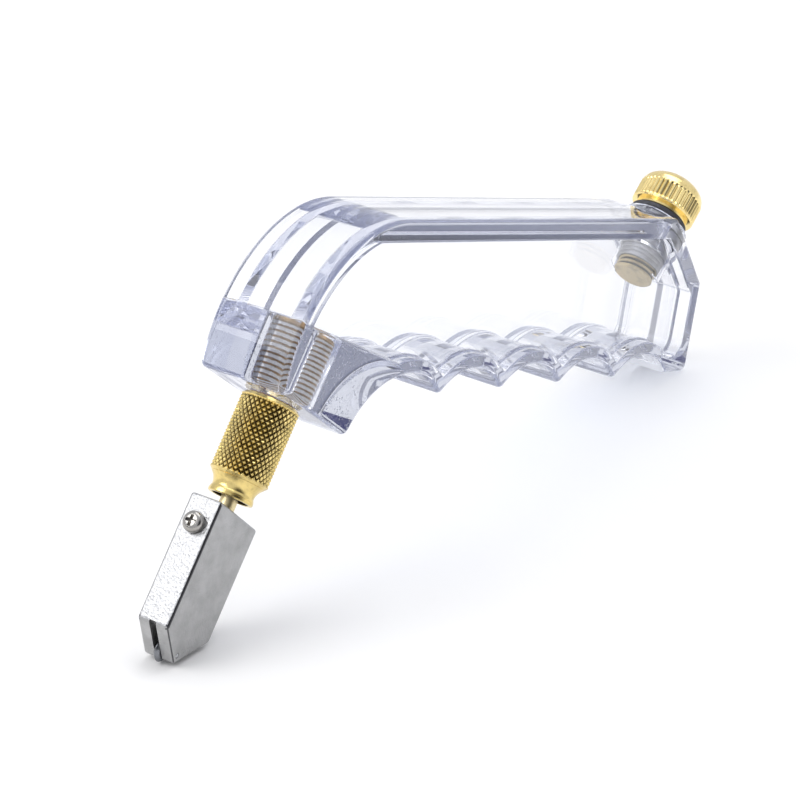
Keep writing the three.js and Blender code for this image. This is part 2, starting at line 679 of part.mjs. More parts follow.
// Brass cap: threaded shank with a flat end, collar, serrated band and dome, in one piece.
function capGeometry() {
  const end = capShankEnd;
  const root = CAP_SHANK_RADIUS - CAP_THREAD_DEPTH;
  const collarRadius = CAP_SHANK_RADIUS + CAP_COLLAR_STEP;
  const profile = [[0, end], [CAP_SHANK_RADIUS - CAP_SHANK_CHAMFER, end]];
  for (let z = end + CAP_SHANK_CHAMFER; z < end + CAP_THREAD_RUNOUT; z += CAP_THREAD_PITCH) {
    profile.push([CAP_SHANK_RADIUS, z], [CAP_SHANK_RADIUS, z + CAP_THREAD_PITCH / 3]);
    profile.push([root, z + (CAP_THREAD_PITCH * 2) / 3]);
  }
  profile.push([CAP_SHANK_RADIUS, end + CAP_THREAD_RUNOUT + CAP_THREAD_PITCH]);
  profile.push([CAP_SHANK_RADIUS, collarBottom], [collarRadius, collarBottom]);
  profile.push([collarRadius, bandBottom + CAP_BAND_HEIGHT]);
  const domeRadius = CAP_RADIUS - CAP_SERRATION_DEPTH;
  const domeBottom = bandBottom + CAP_BAND_HEIGHT - SEAT_GAP;
  profile.push([domeRadius, domeBottom]);
  for (let i = 1; i <= ARC_STEPS / 2; i += 1) {
    const angle = (Math.PI * i) / ARC_STEPS;
    const height = CAP_DOME_HEIGHT * Math.sin(angle);
    profile.push([i === ARC_STEPS / 2 ? 0 : domeRadius * Math.cos(angle), domeBottom + height]);
  }
  return geometryOf(solid(turned(profile)).add(solid(serratedBand())));
}

// --- Assembly -----------------------------------------------------------------------------

const grip = new THREE.Group();
grip.add(
  piece("handle_left_half", gripHalf(-1), "acrylic"),
  piece("handle_right_half", gripHalf(1), "acrylic"),
);

const barrel = new THREE.Group();
barrel.applyMatrix4(barrelFrame);
barrel.add(
  piece("knurled_barrel", barrelGeometry(), "barrelBrass"),
  piece("head_stem", stemGeometry(), "barrelBrass"),
  piece("stem_seal", stemSealGeometry(), "rubber"),
  piece("valve_spring", springGeometry(), "steel"),
  piece("spring_retainer", retainerGeometry(), "barrelBrass"),
  piece("cutter_head", headGeometry(), "zinc"),
  piece("head_screw", headScrewGeometry(), "nickel"),
  piece("wheel_axle", crossBar(AXLE_RADIUS, HEAD_THICKNESS / 2), "steel"),
  piece("cutting_wheel", wheelGeometry(), "carbide"),
);

const filler = new THREE.Group();
filler.applyMatrix4(fillerFrame);
filler.add(
  piece("filler_bushing", bushingGeometry(), "nickel"),
  piece("cap_gasket", capGasketGeometry(), "rubber"),
  piece("filler_cap", capGeometry(), "capBrass"),
);
grip.add(barrel, filler);

// The part stands on the wheel's edge and on the heel's fillet: the table is their common tangent.
const wheelCentre = new THREE.Vector3(axleX, 0, axleZ).applyMatrix4(barrelFrame);
const heel = fillet(rearFoot, 0, rearAngle, HEEL_FILLET);
const heelCentre = new THREE.Vector3(heel[0].x, 0, heel[0].y + HEEL_FILLET);
const span = heelCentre.clone().sub(wheelCentre);
const rise = Math.atan2(span.z, span.x);
const tangent = Math.asin((HEEL_FILLET - WHEEL_RADIUS) / Math.hypot(span.x, span.z));
grip.rotation.y = rise - tangent;

const root = new THREE.Group();
root.add(grip);
root.updateMatrixWorld(true);
const bounds = new THREE.Box3().setFromObject(root, true);
grip.position.set(-(bounds.min.x + bounds.max.x) / 2, 0, -bounds.min.z);

export default root;
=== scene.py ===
"""A clear pistol-grip glass cutter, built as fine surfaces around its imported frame.

Metres, +Z up, cutting head towards -X. Sizes inside the classes are in millimetres and are
turned into metres where a shape is placed. Each sub-assembly is a class: its fields are its
sizes, and its methods build its pieces and give them their finishes.
"""

import json
import logging
import math
from collections.abc import Callable, Sequence
from dataclasses import dataclass, field
from enum import Enum
from typing import Any

import bmesh
import bpy
import numpy as np
from mathutils import Matrix


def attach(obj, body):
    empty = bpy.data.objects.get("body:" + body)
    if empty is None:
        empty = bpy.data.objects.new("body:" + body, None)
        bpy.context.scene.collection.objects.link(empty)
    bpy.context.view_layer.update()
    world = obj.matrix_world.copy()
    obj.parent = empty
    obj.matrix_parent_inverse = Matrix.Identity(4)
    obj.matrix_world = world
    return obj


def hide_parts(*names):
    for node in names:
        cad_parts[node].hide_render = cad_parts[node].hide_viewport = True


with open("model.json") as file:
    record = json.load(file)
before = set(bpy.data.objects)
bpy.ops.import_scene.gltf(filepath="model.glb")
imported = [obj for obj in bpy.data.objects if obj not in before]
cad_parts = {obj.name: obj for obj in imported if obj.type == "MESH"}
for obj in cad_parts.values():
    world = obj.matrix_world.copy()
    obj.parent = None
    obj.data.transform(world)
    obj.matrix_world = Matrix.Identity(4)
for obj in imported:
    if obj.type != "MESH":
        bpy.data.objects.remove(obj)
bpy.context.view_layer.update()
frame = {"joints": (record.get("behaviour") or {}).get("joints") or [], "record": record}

log = logging.getLogger("glass_cutter")

MM = 0.001
TAU = 2.0 * math.pi
SMOOTH_ANGLE = math.radians(35.0)
CUT_OVERRUN = 4.0  # mm that a cutting solid runs past the faces it cuts
CLEAR_BOUNCES = 200  # light that the clear flanges guide turns many times before it leaves
SEAM_AIR = 0.01  # mm from the centre plane to each shell's bonded face


# --- Frames --------------------------------------------------------------------------------


@dataclass(frozen=True)
class Axes:
    """A frame inside the part whose y runs across the grip, as the part's own does.

    Args:
        origin: its origin in the row frame, in metres.
        up: unit vector of its z axis in the row frame, square to the row's y.
    """

    origin: np.ndarray
    up: np.ndarray

    @property
    def rearward(self) -> np.ndarray:
        """Its x axis: y cross z, so that the frame is right-handed."""
        return np.cross(np.array([0.0, 1.0, 0.0]), self.up)

    def place(self, points: np.ndarray) -> np.ndarray:
        """Turn points of this frame into the row frame.

        Each point is origin + x * rearward + y * across + z * up, scaled from mm to metres.

        Args:
            points: array whose last axis is x, y, z in millimetres.

        Returns:
            The same array in the row frame, in metres.
        """
        across = np.array([0.0, 1.0, 0.0])
        turn = np.stack([self.rearward, across, self.up])
        return self.origin + (points @ turn) * MM


def joint(name: str) -> dict[str, Any]:
    """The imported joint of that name."""
    return next(j for j in frame["joints"] if j["name"] == name)


def joint_axes(name: str) -> Axes:
    """The frame whose origin and z axis are a hinge's point and axis."""
    entry = joint(name)
    return Axes(np.array(entry["pos_m"], float), np.array(entry["axis"], float))


# --- Outlines in the side view -------------------------------------------------------------


def arc(centre: tuple[float, float], radius: float, start: float, end: float, steps: int) -> np.ndarray:
    """Points centre + radius * (cos a, sin a) for steps + 1 equal steps of a.

    Args:
        centre: x and z of the centre, in mm.
        radius: radius in mm.
        start: first angle in radians.
        end: last angle in radians.
        steps: number of equal steps.

    Returns:
        Array of (steps + 1, 2).
    """
    a = np.linspace(start, end, steps + 1)
    return np.array(centre) + radius * np.stack([np.cos(a), np.sin(a)], axis=1)


def meet(a: Sequence[float], a_angle: float, b: Sequence[float], b_angle: float) -> np.ndarray:
    """The point where two lines cross, from a point and a direction angle of each."""
    da = np.array([math.cos(a_angle), math.sin(a_angle)])
    db = np.array([math.cos(b_angle), math.sin(b_angle)])
    along = np.linalg.solve(np.stack([da, -db], axis=1), np.asarray(b, float) - np.asarray(a, float))
    return np.asarray(a, float) + da * along[0]


def fillet(corner: Sequence[float], before: float, after: float, radius: float, steps: int = 8) -> np.ndarray:
    """The arc that rounds a corner between two directions of travel.

    The arc touches both lines: it starts radius * tan(turn / 2) before the corner, and its
    centre is one radius to the inside of the turn.

    Args:
        corner: the sharp corner, in mm.
        before: direction of travel into the corner, in radians.
        after: direction of travel out of it, in radians.
        radius: fillet radius in mm.
        steps: number of steps along the arc.

    Returns:
        Array of (steps + 1, 2).
    """
    turn = math.atan2(math.sin(after - before), math.cos(after - before))
    side = math.copysign(1.0, turn)
    reach = radius * math.tan(abs(turn) / 2)
    start = np.asarray(corner, float) - reach * np.array([math.cos(before), math.sin(before)])
    centre = start + side * radius * np.array([-math.sin(before), math.cos(before)])
    first = before - side * math.pi / 2
    return arc((centre[0], centre[1]), radius, first, first + turn, steps)


# --- Meshes --------------------------------------------------------------------------------


class Operation(Enum):
    """How one solid acts on another."""

    JOIN = "UNION"
    CUT = "DIFFERENCE"
    KEEP = "INTERSECT"


def mesh_from(points: np.ndarray, faces: list[list[int]], name: str = "shape") -> bpy.types.Mesh:
    """Make a closed mesh whose faces point outwards.

    Args:
        points: (n, 3) array in metres.
        faces: vertex numbers of each face.
        name: name of the mesh.

    Returns:
        The new mesh.
    """
    mesh = bpy.data.meshes.new(name)
    mesh.from_pydata(points.tolist(), [], faces)
    work = bmesh.new()
    work.from_mesh(mesh)
    bmesh.ops.remove_doubles(work, verts=work.verts, dist=1e-7)
    bmesh.ops.recalc_face_normals(work, faces=work.faces)
    work.to_mesh(mesh)
    work.free()
    return mesh


def grid_faces(rows: int, columns: int, wrap_rows: bool) -> list[list[int]]:
    """Quads between neighbouring points of a grid whose columns close on themselves.

    Quad (i, j) joins points (i, j), (i, j + 1), (i + 1, j + 1) and (i + 1, j).

    Args:
        rows: number of rows of points.
        columns: number of points in each row.
        wrap_rows: whether the last row joins the first.

    Returns:
        The list of quads.
    """
    i, j = np.meshgrid(np.arange(rows if wrap_rows else rows - 1), np.arange(columns), indexing="ij")
    below = (i + 1) % rows
    right = (j + 1) % columns
    quads = np.stack([i * columns + j, i * columns + right, below * columns + right, below * columns + j], -1)
    return quads.reshape(-1, 4).tolist()


def prism(axes: Axes, outline: np.ndarray, near: float, far: float) -> bpy.types.Mesh:
    """An outline in x and z, carried straight along y from near to far.

    Args:
        axes: the frame of the outline.
        outline: (n, 2) array of x and z in mm.
        near: lowest y in mm.
        far: highest y in mm.

    Returns:
        The closed mesh.
    """
    count = len(outline)
    rings = [np.stack([outline[:, 0], np.full(count, y), outline[:, 1]], axis=1) for y in (near, far)]
    faces = grid_faces(2, count, False) + [list(range(count)), list(range(2 * count - 1, count - 1, -1))]
    return mesh_from(axes.place(np.concatenate(rings)), faces)


Relief = Callable[[np.ndarray, np.ndarray, np.ndarray], np.ndarray]


def revolve(
    axes: Axes,
    profile: np.ndarray,
    columns: int = 96,
    closed: bool = False,
    relief: Relief | None = None,
) -> bpy.types.Mesh:
    """A profile carried round the z axis: (r cos t, r sin t, z), with r lowered by a relief.

    Args:
        axes: the frame whose z is the axis.
        profile: (n, 2) array of radius and height in mm.
        columns: number of steps round the axis.
        closed: whether the profile closes on itself, as that of a ring or tube does.
        relief: function of (angle, height, radius) grids that gives the depth to take off.

    Returns:
        The closed mesh, with its relief as the vertex attribute "depth" (0 high, 1 low).
    """
    turn = np.linspace(0.0, TAU, columns, endpoint=False)
    radius, angle = np.meshgrid(profile[:, 0], turn, indexing="ij")
    height, _ = np.meshgrid(profile[:, 1], turn, indexing="ij")
    depth = relief(angle, height, radius) if relief else np.zeros_like(radius)
    r = np.maximum(radius - depth, 0.0)
    points = np.stack([r * np.cos(angle), r * np.sin(angle), height], axis=-1)
    rows = len(profile)
    faces = grid_faces(rows, columns, closed)
    if not closed:
        faces.append(list(range(columns)))
        faces.append(list(range(rows * columns - 1, (rows - 1) * columns - 1, -1)))
    mesh = mesh_from(axes.place(points.reshape(-1, 3)), faces)
    if relief:
        highest = max(float(depth.max()), 1e-9)
        layer = mesh.attributes.new("depth", "FLOAT", "POINT")
        layer.data.foreach_set("value", (depth / highest).ravel()[: len(mesh.vertices)].astype(np.float32))
    return mesh


def combine(base: bpy.types.Mesh, *steps: tuple[Operation, bpy.types.Mesh]) -> bpy.types.Mesh:
    """Join, cut or keep a solid with others, one after another.

    Args:
        base: the solid to start from.
        steps: pairs of an operation and the solid that it uses.

    Returns:
        A new mesh; the meshes given are removed.
    """
    result = base
    for operation, tool in steps:
        result = _combine_once(result, operation, tool)
    return result


def _combine_once(base: bpy.types.Mesh, operation: Operation, tool: bpy.types.Mesh) -> bpy.types.Mesh:
    """One boolean step on closed solids, through two passing objects."""
    holder = _passing_object(base)
    other = _passing_object(tool)
    step = holder.modifiers.new("step", "BOOLEAN")
    step.operation = operation.value
    step.solver = "MANIFOLD"
    step.object = other
    if tool.materials:
        step.material_mode = "TRANSFER"
    return _take(holder, other)


def soften(
    mesh: bpy.types.Mesh, width: float, segments: int = 3, sharper_than: float = 38.0
) -> bpy.types.Mesh:
    """Round every edge sharper than an angle.

    Args:
        mesh: the solid; it is replaced.
        width: width of the rounding in mm.
        segments: number of strips in it.
        sharper_than: smallest angle that is rounded, in degrees.

    Returns:
        The rounded mesh.
    """
    holder = _passing_object(mesh)
    bevel = holder.modifiers.new("round", "BEVEL")
    bevel.width = width * MM
    bevel.segments = segments
    bevel.limit_method = "ANGLE"
    bevel.angle_limit = math.radians(sharper_than)
    bevel.use_clamp_overlap = False
    bevel.miter_outer = "MITER_ARC"
    return _take(holder)


def _passing_object(mesh: bpy.types.Mesh) -> bpy.types.Object:
    """An object that lives only while a modifier is applied."""
    holder = bpy.data.objects.new("passing", mesh)
    bpy.context.scene.collection.objects.link(holder)
    return holder


def _take(holder: bpy.types.Object, *others: bpy.types.Object) -> bpy.types.Mesh:
    """The mesh that an object's modifiers give; the object and its helpers are removed."""
    bpy.context.view_layer.update()
    depsgraph = bpy.context.evaluated_depsgraph_get()
    mesh = bpy.data.meshes.new_from_object(holder.evaluated_get(depsgraph))
    for thing in (holder, *others):
        old = thing.data
        bpy.data.objects.remove(thing)
        bpy.data.meshes.remove(old)
    return mesh


@dataclass(frozen=True)
class Placement:
    """Where a finished piece belongs.

    Args:
        body: the moving body that it rides on.
        slot: the record's material slot; not used.
        nodes: the CAD nodes that it stands for.
    """

    body: str
    slot: str
    nodes: tuple[str, ...]


def centres_of(mesh: bpy.types.Mesh, axes: Axes) -> np.ndarray:
    """Each face's centre from a frame's origin, in row directions, in mm."""
    centres = np.empty(len(mesh.polygons) * 3)
    mesh.polygons.foreach_get("center", centres)
    return (centres.reshape(-1, 3) - axes.origin) / MM


def heights_of(mesh: bpy.types.Mesh, axes: Axes) -> np.ndarray:
    """Height of each face's centre along an axis, in mm."""
    return centres_of(mesh, axes) @ axes.up


def radii_of(mesh: bpy.types.Mesh, axes: Axes) -> np.ndarray:
    """Distance of each face's centre from an axis, in mm."""
    return np.linalg.norm(np.cross(centres_of(mesh, axes), axes.up), axis=1)


def finished(
    name: str,
    mesh: bpy.types.Mesh,
    materials: Sequence[bpy.types.Material],
    placement: Placement,
    flat_faces: bool = False,
) -> bpy.types.Object:
    """Make a mesh a finished piece: shaded, dressed, and riding on its body.

    Args:
        name: name of the piece.
        mesh: its mesh, in the row frame.
        materials: materials in slot order.
        placement: its body, slot and CAD nodes.
        flat_faces: whether its large flat faces keep their own normals up to their rounded edges.

    Returns:
        The new object.
    """
    mesh.name = name
    slots = np.empty(len(mesh.polygons), np.int32)
    mesh.polygons.foreach_get("material_index", slots)
    mesh.materials.clear()
    for material in materials:
        mesh.materials.append(material)
    mesh.polygons.foreach_set("material_index", slots)
    mesh.polygons.foreach_set("use_smooth", np.ones(len(mesh.polygons), dtype=bool))
    mesh.set_sharp_from_angle(angle=SMOOTH_ANGLE)
    if flat_faces:
        holder = _passing_object(mesh)
        even = holder.modifiers.new("even", "WEIGHTED_NORMAL")
        even.keep_sharp = True
        mesh = _take(holder)
        mesh.name = name
    piece = bpy.data.objects.new(name, mesh)
    bpy.context.scene.collection.objects.link(piece)
    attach(piece, placement.body)
    if placement.nodes:
        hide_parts(*placement.nodes)
    log.info("%s: %d faces on body %s", name, len(mesh.polygons), placement.body)
    return piece


# --- Shader maths --------------------------------------------------------------------------


class Value:
    """A float socket that Python operators can act on; each operator adds one Math node."""

    def __init__(self, tree: "Shader", socket: bpy.types.NodeSocket) -> None:
        """Wrap a socket.

        Args:
            tree: the shader that holds it.
            socket: an output socket.
        """
        self.tree = tree
        self.socket = socket

    def _math(self, operation: str, first: "Value | float", second: "Value | float") -> "Value":
        """The Math node of that operation on two terms."""
        return self.tree.value("ShaderNodeMath", {"operation": operation}, {0: first, 1: second})

    def __add__(self, other: "Value | float") -> "Value":
        """self + other."""
        return self._math("ADD", self, other)

    def __radd__(self, other: float) -> "Value":
        """other + self."""
        return self._math("ADD", other, self)

    def __sub__(self, other: "Value | float") -> "Value":
        """self - other."""
        return self._math("SUBTRACT", self, other)

    def __rsub__(self, other: float) -> "Value":
        """other - self."""
        return self._math("SUBTRACT", other, self)

    def __mul__(self, other: "Value | float") -> "Value":
        """self * other."""
        return self._math("MULTIPLY", self, other)

    def __rmul__(self, other: float) -> "Value":
        """other * self."""
        return self._math("MULTIPLY", other, self)

    def step(self, low: float, high: float) -> "Value":
        """0 below low, 1 above high, and a smooth ramp between them."""
        settings = {"interpolation_type": "SMOOTHSTEP"}
        inputs = {"Value": self, "From Min": low, "From Max": high}
        return self.tree.value("ShaderNodeMapRange", settings, inputs)


class Shader:
    """The node tree of one material, or of the world."""

    def __init__(self, name: str, library: Any = None) -> None:
        """Start an empty node material.

        Args:
            name: the material's name.
            library: where it is made; the materials, if none is given.
        """
        self.material = (bpy.data.materials if library is None else library).new(name)
        self.material.use_nodes = True
        self.tree = self.material.node_tree
        self.tree.nodes.clear()

    def node(
        self,
        kind: str,
        settings: dict[str, Any] | None = None,
        inputs: dict[str | int, Any] | None = None,
    ) -> bpy.types.Node:
        """Add a node.

        Args:
            kind: the node's type name.
            settings: properties of the node, set first; "stops" gives a ramp's stops.
            inputs: value, Value or output socket for each input, by name or number.

        Returns:
            The node.
        """
        node = self.tree.nodes.new(kind)
        for key, value in (settings or {}).items():
            if key == "stops":
                self._set_stops(node, value)
            else:
                setattr(node, key, value)
        for key, value in (inputs or {}).items():
            socket = node.inputs[key]
            if isinstance(value, Value):
                self.tree.links.new(value.socket, socket)
            elif isinstance(value, bpy.types.NodeSocket):
                self.tree.links.new(value, socket)
            else:
                socket.default_value = value
        return node

    @staticmethod
    def _set_stops(node: bpy.types.Node, stops: Sequence[tuple[float, tuple[float, float, float]]]) -> None:
        """Give a colour ramp its stops."""
        elements = node.color_ramp.elements
        while len(elements) < len(stops):
            elements.new(1.0)
        for element, (place, colour) in zip(elements, stops):
            element.position = place
            element.color = (*colour, 1.0)

    def value(
        self,
        kind: str,
        settings: dict[str, Any] | None = None,
        inputs: dict[str | int, Any] | None = None,
        output: str | int = 0,
    ) -> Value:
        """Add a node and wrap one of its float outputs."""
        return Value(self, self.node(kind, settings, inputs).outputs[output])

    def place(self) -> bpy.types.NodeSocket:
        """The point being shaded, in the piece's own frame, in metres."""
        return self.node("ShaderNodeTexCoord").outputs["Object"]

    def noise(self, per_mm: float, detail: float = 3.0, roughness: float = 0.55) -> Value:
        """Noise between 0 and 1.

        Args:
            per_mm: features in a millimetre.
            detail: number of finer layers.
            roughness: how strong the finer layers are.

        Returns:
            The noise.
        """
        inputs = {"Vector": self.place(), "Scale": per_mm / MM, "Detail": detail, "Roughness": roughness}
        return self.value("ShaderNodeTexNoise", None, inputs, "Fac")

    def cells(self, per_mm: float, feature: str = "F1") -> Value:
        """Distance to the nearest of scattered points, per_mm of them in a millimetre."""
        inputs = {"Vector": self.place(), "Scale": per_mm / MM}
        return self.value("ShaderNodeTexVoronoi", {"feature": feature}, inputs, "Distance")

    def attribute(self, name: str) -> Value:
        """A float attribute of the mesh."""
        return self.value("ShaderNodeAttribute", {"attribute_name": name}, None, "Fac")

    def ramp(
        self, factor: Value, stops: Sequence[tuple[float, tuple[float, float, float]]]
    ) -> bpy.types.NodeSocket:
        """A colour that follows a factor."""
        return self.node("ShaderNodeValToRGB", {"stops": stops}, {"Fac": factor}).outputs["Color"]

    def mix(self, factor: Value, first: Any, second: Any) -> bpy.types.NodeSocket:
        """The colour between first and second by a factor."""
        settings = {"data_type": "RGBA"}
        return self.node("ShaderNodeMix", settings, {0: factor, 6: first, 7: second}).outputs[2]

    def bump(self, height: Value, depth_mm: float, strength: float = 1.0) -> bpy.types.NodeSocket:
        """A normal bent by a height.

        Args:
            height: the height, from 0 to 1.
            depth_mm: what a height of 1 stands for.
            strength: how much of the bend is kept.

        Returns:
            The normal.
        """
        inputs = {"Height": height, "Distance": depth_mm * MM, "Strength": strength}
        return self.node("ShaderNodeBump", None, inputs).outputs["Normal"]

    def finish(self, shader: bpy.types.Node, inside: bpy.types.Node | None = None) -> bpy.types.Material:
        """Send a shader node to the material's surface, and another to its volume."""
        sockets = {"Surface": shader.outputs[0]}
        if inside:
            sockets["Volume"] = inside.outputs[0]
        self.node("ShaderNodeOutputMaterial", None, sockets)
        return self.material


def rgba(colour: tuple[float, float, float]) -> tuple[float, float, float, float]:
    """A colour as a socket takes it."""
    return (*colour, 1.0)


# --- Finishes ------------------------------------------------------------------------------


@dataclass(frozen=True)
class ClearAcrylic:
    """Clear moulded acrylic, with the faint waves of a moulded surface.

    Args:
        tint: colour left by each face that light passes.
        depth_tint: colour that thick walls tend to.
        depth_density: absorption in a metre, where depth_tint is black.
        ior: index of refraction.
        wave_depth: depth of the waves in mm.
    """

    tint: tuple[float, float, float] = (0.98, 0.985, 1.0)
    depth_tint: tuple[float, float, float] = (0.34, 0.40, 0.66)
    depth_density: float = 9.0
    ior: float = 1.49
    wave_depth: float = 0.002

    def material(self) -> bpy.types.Material:
        """Glass with a cool tint that lets lamps through to what is behind it."""
        shader = Shader("clear_acrylic")
        waves = shader.noise(0.18, 1.5, 0.4)
        fine = shader.noise(2.2, 2.0)
        rough = 0.012 + 0.02 * fine.step(0.55, 0.8)
        glass = shader.node("ShaderNodeBsdfPrincipled", None, {
            "Base Color": rgba(self.tint),
            "Roughness": rough,
            "IOR": self.ior,
            "Transmission Weight": 1.0,
            "Normal": shader.bump(waves, self.wave_depth),
        })
        clear = shader.node("ShaderNodeBsdfTransparent", None, {"Color": rgba((0.9, 0.92, 0.96))})
        lamp = shader.node("ShaderNodeLightPath").outputs["Is Shadow Ray"]
        mixed = shader.node("ShaderNodeMixShader", None, {0: lamp, 1: glass.outputs[0], 2: clear.outputs[0]})
        depth = shader.node("ShaderNodeVolumeAbsorption", None, {
            "Color": rgba(self.depth_tint),
            "Density": self.depth_density,
        })
        return shader.finish(mixed, depth)


@dataclass(frozen=True)
class BondLine:
    """The bonded face between the shells: clear cement with trapped bubbles."""

    bubble_tone: tuple[float, float, float] = (0.90, 0.91, 0.95)

    def material(self) -> bpy.types.Material:
        """Clear where the cement is sound, pale and rough where bubbles are trapped at the nose."""
        shader = Shader("bond_line")
        small = shader.cells(1.7)
        patches = shader.noise(0.5, 3.0)
        along = shader.value("ShaderNodeSeparateXYZ", None, {"Vector": shader.place()}, "X")
        nose = 1.0 - along.step(-0.045, -0.015)
        bubbles = (1.0 - small.step(0.22, 0.36)) * patches.step(0.34, 0.50) * nose
        clear = shader.node("ShaderNodeBsdfTransparent", None, {"Color": rgba((0.995, 0.996, 1.0))})
        pale = shader.node("ShaderNodeBsdfPrincipled", None, {
            "Base Color": shader.mix(patches, rgba((0.55, 0.57, 0.64)), rgba(self.bubble_tone)),
            "Roughness": 0.25 + 0.2 * small,
            "IOR": 1.3,
        })
        mixed = shader.node(
            "ShaderNodeMixShader",
            None,
            {0: bubbles * 0.6, 1: clear.outputs[0], 2: pale.outputs[0]},
        )
        return shader.finish(mixed)


@dataclass(frozen=True)
class Brass:
    """Turned brass, bright on its crests and darker and browner in its hollows and where it is stained.

    Args:
        name: the material's name.
        bright: colour of clean metal.
        dull: colour of the hollows.
        roughness: gloss of clean metal.
        depth_darkening: how much the hollows take the dull colour, by their depth.
        knurled: whether the piece carries the attribute "depth".
    """

    name: str
    bright: tuple[float, float, float]
    dull: tuple[float, float, float]
    roughness: float = 0.25
    depth_darkening: float = 1.0
    knurled: bool = False

    def material(self) -> bpy.types.Material:
        """Metal whose colour and gloss follow depth, stains and fine tool marks."""
        shader = Shader(self.name)
        stain = shader.noise(0.5, 4.0)
        grain = shader.noise(9.0, 2.0)
        speck = shader.noise(3.0, 3.0).step(0.58, 0.72)
        hollow = 0.30 * stain.step(0.45, 0.75) + 0.14 * speck
        if self.knurled:
            # The deeper a point of the knurl, flutes or thread, the darker and browner its colour.
            hollow = hollow + self.depth_darkening * shader.attribute("depth").step(0.35, 0.95)
        colour = shader.ramp(hollow, [(0.0, self.bright), (0.45, self._between(0.45)), (1.0, self.dull)])
        rough = self.roughness + 0.10 * grain + 0.18 * hollow
        metal = shader.node("ShaderNodeBsdfPrincipled", None, {
            "Base Color": colour,
            "Roughness": rough,
            "Metallic": 1.0,
            "Normal": shader.bump(grain + 0.6 * stain, 0.006),
        })
        return shader.finish(metal)

    def _between(self, share: float) -> tuple[float, float, float]:
        """The colour that share of the way from bright to dull."""
        return tuple(b + (d - b) * share for b, d in zip(self.bright, self.dull))


@dataclass(frozen=True)
class SealedThread:
    """Brass thread bedded in clear sealant: brown on its crests, pale in its grooves."""

    crest: tuple[float, float, float] = (0.30, 0.19, 0.09)
    bed: tuple[float, float, float] = (0.80, 0.79, 0.78)

    def material(self) -> bpy.types.Material:
        """Metal where the crests are bare, pale and dull where the sealant lies."""
        shader = Shader("thread_brass")
        streak = shader.noise(1.3, 3.0)
        cover = (shader.attribute("depth") + 0.5 * (streak - 0.5)).step(0.25, 0.55)
        bedded = shader.node("ShaderNodeBsdfPrincipled", None, {
            "Base Color": shader.mix(cover, rgba(self.crest), rgba(self.bed)),
            "Roughness": 0.3 + 0.35 * cover,
            "Metallic": 1.0 - cover,
        })
        return shader.finish(bedded)


@dataclass(frozen=True)
class GrainedMetal:
    """A plain metal with grain, blotches and worn patches.

    Args:
        name: the material's name.
        light: colour of its lighter blotches.
        dark: colour of its darker ones.
        roughness: mean roughness.
        grain_per_mm: grains in a millimetre.
        grain_depth: depth of the grain in mm.
        hammered: depth in mm of broad facets over the grain.
    """

    name: str
    light: tuple[float, float, float]
    dark: tuple[float, float, float]
    roughness: float = 0.4
    grain_per_mm: float = 5.0
    grain_depth: float = 0.01
    hammered: float = 0.0

    def material(self) -> bpy.types.Material:
        """Metal with a fine grain and, where asked, broad hammered facets."""
        shader = Shader(self.name)
        blotch = shader.noise(0.35, 4.0)
        grain = shader.noise(self.grain_per_mm, 3.0)
        normal = shader.bump(grain, self.grain_depth)
        if self.hammered:
            facets = shader.cells(2.2) + 0.5 * shader.noise(3.0, 2.0)
            normal = shader.node("ShaderNodeBump", None, {
                "Height": facets,
                "Distance": self.hammered * MM,
                "Normal": normal,
            }).outputs["Normal"]
        metal = shader.node("ShaderNodeBsdfPrincipled", None, {
            "Base Color": shader.mix(blotch, rgba(self.dark), rgba(self.light)),
            "Roughness": (self.roughness - 0.08) + 0.16 * blotch,
            "Metallic": 1.0,
            "Normal": normal,
        })
        return shader.finish(metal)


@dataclass(frozen=True)
class SealRubber:
    """Dark nitrile rubber with a dusty bloom."""

    tone: tuple[float, float, float] = (0.035, 0.036, 0.042)

    def material(self) -> bpy.types.Material:
        """Matt rubber, a little lighter where it has bloomed."""
        shader = Shader("seal_rubber")
        bloom = shader.noise(1.4, 4.0)
        rubber = shader.node("ShaderNodeBsdfPrincipled", None, {
            "Base Color": shader.mix(bloom.step(0.4, 0.8), rgba(self.tone), rgba((0.10, 0.10, 0.12))),
            "Roughness": 0.5 + 0.25 * bloom,
            "Normal": shader.bump(shader.noise(6.0), 0.008),
        })
        return shader.finish(rubber)


@dataclass(frozen=True)
class PaleFloor:
    """A plain white studio floor."""

    tone: tuple[float, float, float] = (0.955, 0.945, 0.925)

    def material(self) -> bpy.types.Material:
        """White paper with barely visible tooth."""
        shader = Shader("studio_floor")
        tooth = shader.noise(0.05, 2.0)
        paper = shader.node("ShaderNodeBsdfPrincipled", None, {
            "Base Color": shader.mix(tooth, rgba(self.tone), rgba((0.965, 0.955, 0.935))),
            "Roughness": 0.7,
            "Specular IOR Level": 0.1,
        })
        return shader.finish(paper)


